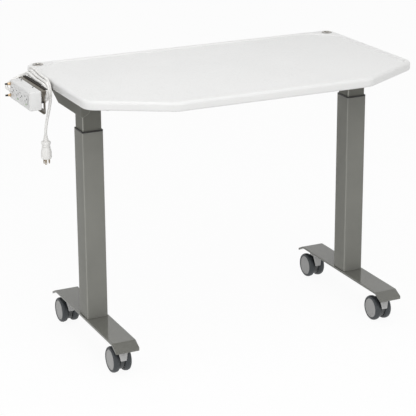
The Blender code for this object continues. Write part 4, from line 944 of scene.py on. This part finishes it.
def shaded_gap_strip_mesh():
    """A dark strip along the flange's inner edge: painted shade in the hollow between the lip and the cord.
    """
    strip = shaped(block(SHADE_STRIP_WIDTH, SHADE_STRIP_LENGTH, SHADE_STRIP_HEIGHT), edge=0.0008)
    return moved(strip, (PLATE_X + 0.0169, 0.0762, BRACKET_TOP + SHADE_STRIP_HEIGHT / 2))


piece("outlet_housing", housing_mesh(), HOUSING, "white_plastic", "outlet_box")
piece("bent_bracket", bracket_mesh(), BRONZE_COAT, "dark_paint", "strip_bracket")
# A dark strip as painted shade beside the cord
piece("edge_strip", shaded_gap_strip_mesh(), SHADE_STRIP_RUBBER, "black_plastic", body="upper")
for (end, _), (y, z) in zip(ENDS, RECEPTACLES):
    # Slot 1 of the inserts: black as painted shade inside the slots
    coats = (HOUSING, NYLON)
    piece(f"duplex_insert_{end}", outlet_mesh(y, z), coats, "white_plastic", f"receptacle_{end}")
for level, z in zip(("lower", "upper"), BREAKER_LEVELS):
    at = {"place": (BOX_FACE_X, BREAKER_Y, z), "turn": quarter_turn("Y", -1)}
    piece(f"brass_neck_{level}", breaker_mesh(), BRASS, "brass", f"breaker_neck_{level}", **at)
    piece(f"reset_cap_{level}", button_mesh(), NYLON, "black_plastic", f"breaker_button_{level}", **at)


# Repeated details: fasteners set on points, and ribs along a line
def new_tree(name, **sockets):
    tree = bpy.data.node_groups.new(name, "GeometryNodeTree")
    for label, kind in sockets.items():
        tree.interface.new_socket(label.replace("_", " "), in_out="INPUT", socket_type="NodeSocket" + kind)
    tree.interface.new_socket("Geometry", in_out="OUTPUT", socket_type="NodeSocketGeometry")
    return tree, tree.nodes.new("NodeGroupInput").outputs


def end_tree(tree, geometry, material):
    look = node(tree, "GeometryNodeSetMaterial", {"Geometry": geometry, "Material": material})
    node(tree, "NodeGroupOutput", {"Geometry": look.outputs["Geometry"]})
    return tree


def copies_tree():
    """A copy of one object on every vertex, with its Z axis turned along a given way."""
    tree, given = new_tree(
        "copies on points", Points="Geometry", Object="Object", Axis="Vector", Material="Material"
    )
    shape = node(tree, "GeometryNodeObjectInfo", {"Object": given["Object"]})
    turn = node(tree, "FunctionNodeAlignRotationToVector", {"Vector": given["Axis"]}, axis="Z")
    spots = {"Points": given["Points"], "Rotation": turn.outputs["Rotation"]}
    copies = node(tree, "GeometryNodeInstanceOnPoints", {**spots, "Instance": shape.outputs["Geometry"]})
    real = node(tree, "GeometryNodeRealizeInstances", {"Geometry": copies.outputs["Instances"]})
    return end_tree(tree, real.outputs["Geometry"], given["Material"])


def ribs_tree():
    """Rings set evenly along a line, their radius running from one size to another."""
    radii = {"First_Radius": "Float", "Last_Radius": "Float", "Thickness": "Float"}
    tree, given = new_tree(
        "ribs along a line", Start="Vector", End="Vector", Count="Int", **radii, Material="Material"
    )
    line = node(tree, "GeometryNodeCurvePrimitiveLine", {"Start": given["Start"], "End": given["End"]})
    stops = {"Curve": line.outputs["Curve"], "Count": given["Count"]}
    points = node(tree, "GeometryNodeResampleCurve", stops)
    along = node(tree, "GeometryNodeSplineParameter")
    radii = {0: along.outputs["Factor"], 2: given["First Radius"], 3: given["Last Radius"]}
    radius = node(tree, "ShaderNodeMix", radii, data_type="FLOAT")
    ring = node(tree, "GeometryNodeCurvePrimitiveCircle", {"Resolution": 48, "Radius": 1.0})
    way = node(tree, "GeometryNodeInputTangent")
    turn = node(tree, "FunctionNodeAlignRotationToVector", {"Vector": way.outputs["Tangent"]}, axis="Z")
    spots = {"Points": points.outputs["Curve"], "Rotation": turn.outputs["Rotation"]}
    sized = {"Instance": ring.outputs["Curve"], "Scale": radius.outputs[0]}
    rings = node(tree, "GeometryNodeInstanceOnPoints", {**spots, **sized})
    real = node(tree, "GeometryNodeRealizeInstances", {"Geometry": rings.outputs["Instances"]})
    round_bar = {"Resolution": 12, "Radius": given["Thickness"]}
    section = node(tree, "GeometryNodeCurvePrimitiveCircle", round_bar)
    swept = {"Curve": real.outputs["Geometry"], "Profile Curve": section.outputs["Curve"]}
    ribs = node(tree, "GeometryNodeCurveToMesh", swept)
    return end_tree(tree, ribs.outputs["Mesh"], given["Material"])


COPIES, RIBS = copies_tree(), ribs_tree()


def grown(tree, mesh, **values):
    """The plain mesh that a tree makes, its inputs set by name."""
    obj = carrier(mesh)
    step = obj.modifiers.new("nodes", "NODES")
    step.node_group = tree
    inputs = [item for item in tree.interface.items_tree if item.in_out == "INPUT"]
    ids = {item.name: item.identifier for item in inputs}
    for label, value in values.items():
        step[ids[label.replace("_", " ")]] = value
    obj.update_tag()
    result = evaluated(obj)
    result.shade_smooth()
    result.set_sharp_from_angle(angle=math.radians(SHARP_ANGLE))
    return result


def ribs(first, last, count, first_radius, last_radius, thickness):
    """Round ribs of soft PVC between two heights."""
    line = {"Start": (0, 0, first), "End": (0, 0, last), "Count": count}
    sizes = {"First_Radius": first_radius, "Last_Radius": last_radius, "Thickness": thickness}
    return grown(RIBS, bpy.data.meshes.new("ribs"), **line, **sizes, Material=PVC)


def screw_mesh(radius, height):
    """Pan head with a cross recess."""
    line = [(ON_AXIS, 0), (radius, 0), (radius, 0.45 * height), (0.55 * radius, height), (ON_AXIS, height)]
    head = turned(eased(line, 0.4 * height, 5), 40)
    arms = [moved(block(1.1 * radius, 0.28 * radius, height), (0, 0, height)) for _ in range(2)]
    arms[1].transform(quarter_turn("Z"))
    return shaped(head, cuts=arms)


def fasteners(name, mesh, places, axis, look, slot):
    """One small fastener set at several places, as one piece."""
    pattern = carrier(mesh)
    points = bpy.data.meshes.new("places")
    points.from_pydata(places, [], [])
    mesh = grown(COPIES, points, Object=pattern, Axis=axis, Material=look)
    bpy.data.objects.remove(pattern)
    piece(name, mesh, look, slot, body="upper")


places = [(BOX_SCREW_X, y, BOX_TOP - 0.0002) for y in (0.100, 0.006)]
screw = screw_mesh(radius=0.0021, height=0.0022)
fasteners("box_screws", screw, places, (0, 0, 1), NYLON, "black_plastic")
BOSSES = [BOX_MIDDLE_Y + way * BOSS_SPACING / 2 for _, way in ENDS]
places = [(PLATE_X + BRACKET_SHEET - GAP, y, BOSS_Z) for y in BOSSES]
screw = screw_mesh(radius=0.0040, height=0.0024)
fasteners("standoff_screws", screw, places, (1, 0, 0), NYLON, "black_plastic")
places = [(BOX_BACK_X, y, BOSS_Z) for y in BOSSES]
spacer = shaped(rod(0.0026, -0.001, PLATE_X - GAP - BOX_BACK_X, 40), edge=0.0004)
fasteners("standoff_spacers", spacer, places, (1, 0, 0), NYLON, "black_plastic")
for side, sign in SIDES:
    x, z = sign * LEG_X, ARM_WEB_BOTTOM + 0.0001
    places = [(x + dx, y, z) for dx in (-0.018, 0.018) for y in (-0.19, -0.11)]
    screw = screw_mesh(radius=0.0045, height=0.0022)
    fasteners(f"arm_screws_{side}", screw, places, (0, 0, -1), ZINC, "plated_steel")

dots = []
for y in (0.0533, -0.0150):
    dot = rod(DOT_RADIUS, -0.0002, 0.0002, 32)
    dots.append(moved(dot, (BOX_FACE_X - 0.0013, y, DOT_Z), quarter_turn("Y", -1)))
piece("marker_dots", shaped(joined(*dots)), ENAMEL, "white_plastic", body="upper")


# Cord: wound round the bracket's neck, its free end hanging to the plug
def lane_x(lane):
    return CORD_FIRST_X + lane * CORD_PITCH


def lane_top(lane):
    return CORD_TOP + lane * CORD_LIFT_STEP


def ease(t):
    return (1 - math.cos(math.pi * t)) / 2


def rise(y):
    """How far the loose loops stand up towards their rear ends."""
    t = (y - CORD_RISE_FROM) / (CORD_RISE_TO - CORD_RISE_FROM)
    return CORD_RISE * ease(min(max(t, 0), 1))


def lead_route():
    """From the gland backwards, round the bracket's rear end in a rising half turn, to the first lane."""
    radius = (lane_x(0) - GLAND_X) / 2
    start_y = BOX_REAR + GLAND_LENGTH + GAP
    end = CORD_REAR - CORD_TURN_RADIUS
    places = [(GLAND_X, y, 0.0) for y in (start_y, start_y + 2 * CORD_RADIUS, CORD_LEAD_TURN - CORD_RADIUS)]
    for angle in np.linspace(0, math.pi, 2 * CORD_TURN_POINTS + 1):
        x = GLAND_X + radius * (1 - math.cos(angle))
        places.append((x, CORD_LEAD_TURN + radius * math.sin(angle), 0.0))
    places += [(lane_x(0), y, 0.0) for y in np.linspace(CORD_LEAD_TURN, end, 4)[1:]]
    places = np.array(places)
    walked = np.concatenate([[0], np.cumsum(np.linalg.norm(np.diff(places, axis=0), axis=1))])
    share = np.clip((walked - walked[2]) / (walked[-1] - walked[2]), 0, 1)
    places[:, 2] = [GLAND_Z + (CORD_TOP + rise(y) - GLAND_Z) * ease(t) for y, t in zip(places[:, 1], share)]
    return [tuple(place) for place in places]


def half_turn(lane, y, way):
    """Half a turn at a loop's end: way 1 from the top down at the front, -1 from below up at the rear."""
    for angle in np.linspace(0, math.pi, CORD_TURN_POINTS + 1):
        reach = -way * CORD_TURN_RADIUS * math.sin(angle)
        z = lane_top(lane) - CORD_TURN_RADIUS * (1 - way * math.cos(angle))
        yield (lane_x(lane), y + reach, z)


def winding_route():
    """The lead, then one loop for each lane; each loop shifts to the next lane along its lower run."""
    route = lead_route()
    lead = len(route)
    for lane in range(CORD_LANES - 1):
        front = CORD_FRONT + lane * CORD_FRONT_STEP + CORD_TURN_RADIUS
        rear = CORD_REAR + (lane + 1) * CORD_REAR_STEP - CORD_TURN_RADIUS
        runs = np.linspace(route[-1][1], front, CORD_RUN_POINTS)[1:-1]
        route += [(lane_x(lane), y, lane_top(lane)) for y in runs]
        route += list(half_turn(lane, front, 1))
        for t in np.linspace(0, 1, CORD_RUN_POINTS):
            y = CORD_SHIFT_FROM + (CORD_SHIFT_TO - CORD_SHIFT_FROM) * t
            between = lane + ease(t)
            route.append((lane_x(between), y, lane_top(between) - 2 * CORD_TURN_RADIUS))
        route += list(half_turn(lane + 1, rear, -1))
    runs = np.linspace(route[-1][1], CORD_TAIL_START + 2 * CORD_RADIUS, CORD_RUN_POINTS)[1:]
    last = CORD_LANES - 1
    route += [(lane_x(last), y, lane_top(last)) for y in runs]
    return route[:lead] + [(x, y, z + rise(y)) for x, y, z in route[lead:]]


def tail_route():
    """Straight off the last lane, a quarter turn down, then drawn out over the plug."""
    x, top = lane_x(CORD_LANES - 1), lane_top(CORD_LANES - 1)
    turn = CORD_TAIL_START - CORD_TAIL_STRAIGHT - PLUG_Y
    route = [(x, CORD_TAIL_START, top)]
    for angle in np.radians((0, 30, 60, 90)):
        route.append((x, PLUG_Y + turn * (1 - math.sin(angle)), top - turn * (1 - math.cos(angle))))
    start, end = route[-1][2], PLUG_TOP + GAP
    for t in (0.18, 0.36, 0.54, 0.72, 0.88, 1):
        route.append((x + (PLUG_X - x) * ease(t), PLUG_Y, start + (end - start) * t))
    return route


def cord_curve(route):
    curve = bpy.data.curves.new("mains_cord", "CURVE")
    curve.dimensions = "3D"
    curve.bevel_depth = CORD_RADIUS
    curve.bevel_resolution = 5
    curve.resolution_u = 6
    curve.use_fill_caps = True
    spline = curve.splines.new("BEZIER")
    spline.bezier_points.add(len(route) - 1)
    for point, place in zip(spline.bezier_points, route):
        point.co = Vector(place) + TABLE
        point.handle_left_type = "AUTO"
        point.handle_right_type = "AUTO"
    curve.materials.append(PVC)
    return placed("mains_cord", curve)


ROUTE = winding_route() + tail_route()
cord = cord_curve(ROUTE)
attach(cord, "upper")
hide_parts("cord_winding", "cord_tail")


def relief_mesh():
    """The ribbed sleeve that holds the cord where it leaves the box."""
    line = [(ON_AXIS, -0.002), (GLAND_RADIUS, -0.002), (GLAND_RADIUS, 0.004), (0.0058, 0.0055)]
    line += [(0.0050, GLAND_LENGTH), (ON_AXIS, GLAND_LENGTH)]
    sleeve = shaped(turned(eased(line, 0.0007, 5), 48))
    sleeve = joined(sleeve, ribs(0.0075, GLAND_LENGTH - 0.0012, 6, 0.0056, 0.0050, 0.0006))
    return moved(sleeve, (GLAND_X, BOX_REAR, GLAND_Z), quarter_turn("X", -1))


def plug_mesh():
    """Moulded plug: stepped relief, a shoulder, a waist to grip and a flat-faced body."""
    line = [(ON_AXIS, 0.0), (0.0054, 0.0), (0.0060, -0.0050), (0.0054, -0.0062), (0.0058, -0.0072)]
    line += [(0.0070, -0.0078), (0.0074, -0.0125), (0.0062, -0.0138), (0.0066, -0.0148), (0.0124, -0.0160)]
    line += [(0.0136, -0.0205), (0.0110, -0.0300), (0.0138, -0.0415), (0.0150, -0.0490), (0.0150, -0.0620)]
    line += [(0.0130, -PLUG_LENGTH), (ON_AXIS, -PLUG_LENGTH)]
    body = turned(eased(line, 0.0022, 6), 64)
    relief = ribs(-0.0012, -0.0042, 3, 0.0054, 0.0057, 0.0005)
    grip = ribs(-0.0265, -0.0345, 4, 0.0116, 0.0117, 0.0005)
    return moved(joined(shaped(body), relief, grip), (PLUG_X, PLUG_Y, PLUG_TOP))


piece("cord_relief", relief_mesh(), PVC, "cord_vinyl", body="upper")
plug_pieces = [piece("plug_moulding", plug_mesh(), PVC, "white_plastic", "plug_body")]
# The contacts' dark and light patches are a painted reflection
for end, way in ENDS:
    hole = moved(rod(0.0016, -0.01, 0.01, 24), (0, 0, -0.0075), quarter_turn("X"))
    blade = slab(BLADE_WIDTH, BLADE_LENGTH, 0.0012, 5, BLADE_THICKNESS, "Y")
    blade = shaped(blade, cuts=[hole], edge=0.0002)
    moved(blade, (BLADE_X, PLUG_Y + way * SLOT_SPACING / 2, BLADE_TOP - BLADE_LENGTH / 2))
    plug_pieces.append(piece(f"plug_contact_{end}", blade, NICKEL_PAINTED_REFLECTION, "plated_steel", f"plug_blade_{end}"))
line = [(ON_AXIS, 0), (PIN_RADIUS, 0), (PIN_RADIUS, -0.019)]
line += [(0.0014, -BLADE_LENGTH), (ON_AXIS, -BLADE_LENGTH)]
pin = shaped(turned(eased(line, 0.001, 5), 40))
moved(pin, (BLADE_X + EARTH_REACH, PLUG_Y, BLADE_TOP))
plug_pieces.append(piece("plug_earth", pin, NICKEL_PAINTED_REFLECTION, "plated_steel", "plug_ground_pin"))


# Stage, light and camera
FLOOR_GLOW = 0.93
ROOM_LOW = 0.38
ROOM_HIGH = 0.70


def onlooker(tree):
    """1 for the rays that look at the background: the camera's own, and those by way of gloss or glass."""
    seen = node(tree, "ShaderNodeLightPath").outputs
    total = seen["Is Camera Ray"]
    for kind in ("Is Glossy Ray", "Is Transmission Ray"):
        both = node(tree, "ShaderNodeMath", {0: total, 1: seen[kind]}, operation="ADD", use_clamp=True)
        total = both.outputs[0]
    return total


def floor():
    """White paper that keeps the object's shadow, though it looks white to the eye and in reflections."""
    shape = bmesh.new()
    bmesh.ops.create_grid(shape, x_segments=1, y_segments=1, size=30)
    obj = placed("studio_floor", mesh_of(shape, "studio_floor"))
    obj.location.z = -0.0005
    paper = finish("white studio paper", "FBFBFB F6F6F6", 0.5, 0.01, 0.00001, (0.9, 1.0), specular=0.0)
    tree = paper.node_tree
    share = node(tree, "ShaderNodeMath", {0: onlooker(tree), 1: FLOOR_GLOW}, operation="MULTIPLY")
    glow = node(tree, "ShaderNodeEmission", {"Color": (1, 1, 1, 1), "Strength": 1.0})
    lit = tree.nodes["Principled BSDF"].outputs["BSDF"]
    mix = node(tree, "ShaderNodeMixShader", {0: share.outputs[0], 1: lit, 2: glow.outputs["Emission"]})
    tree.links.new(mix.outputs["Shader"], tree.nodes["Material Output"].inputs["Surface"])
    obj.data.materials.append(paper)


def softbox(name, place, aim, size, power):
    light = bpy.data.lights.new(name, "AREA")
    light.shape = "SQUARE"
    light.size = size
    light.energy = power
    obj = placed(name, light)
    obj.location = place
    obj.rotation_euler = (Vector(aim) - Vector(place)).to_track_quat("-Z", "Y").to_euler()


def studio():
    """A pale room, white to the eye, a little brighter overhead."""
    world = bpy.data.worlds.new("studio")
    bpy.context.scene.world = world
    world.use_nodes = True
    tree = world.node_tree
    tree.nodes.clear()
    way = node(tree, "ShaderNodeTexCoord").outputs["Generated"]
    height = node(tree, "ShaderNodeSeparateXYZ", {"Vector": way})
    spread = {"From Min": -0.1, "From Max": 0.9, "To Min": ROOM_LOW, "To Max": ROOM_HIGH}
    level = node(tree, "ShaderNodeMapRange", {"Value": height.outputs["Z"], **spread})
    room = node(tree, "ShaderNodeBackground", {"Color": (1, 1, 1, 1), "Strength": level.outputs["Result"]})
    white = node(tree, "ShaderNodeBackground", {"Color": (1, 1, 1, 1), "Strength": 1.0})
    looks = {0: onlooker(tree), 1: room.outputs["Background"], 2: white.outputs["Background"]}
    mix = node(tree, "ShaderNodeMixShader", looks)
    node(tree, "ShaderNodeOutputWorld", {"Surface": mix.outputs["Shader"]})


floor()
studio()
softbox("key", place=(-0.5, -3.2, 3.0), aim=(0, 0, 0.5), size=2.4, power=49)
softbox("left_fill", place=(-2.4, -0.6, 1.2), aim=(-0.3, 0, 0.6), size=1.2, power=6)
softbox("overhead", place=(-0.6, -0.7, 2.5), aim=(-0.1, 0, 0.6), size=1.2, power=9)

camera = bpy.data.cameras.new("camera")
camera.sensor_width = 36
camera.lens = 133.67
camera.shift_y = -0.12
camera_object = placed("camera", camera)
camera_object.location = (-1.8559, -3.8468, 1.8294)
camera_object.rotation_euler = [math.radians(a) for a in (73.057, 0.285, -25.744)]
bpy.context.scene.camera = camera_object
bpy.context.scene.view_settings.view_transform = "Standard"
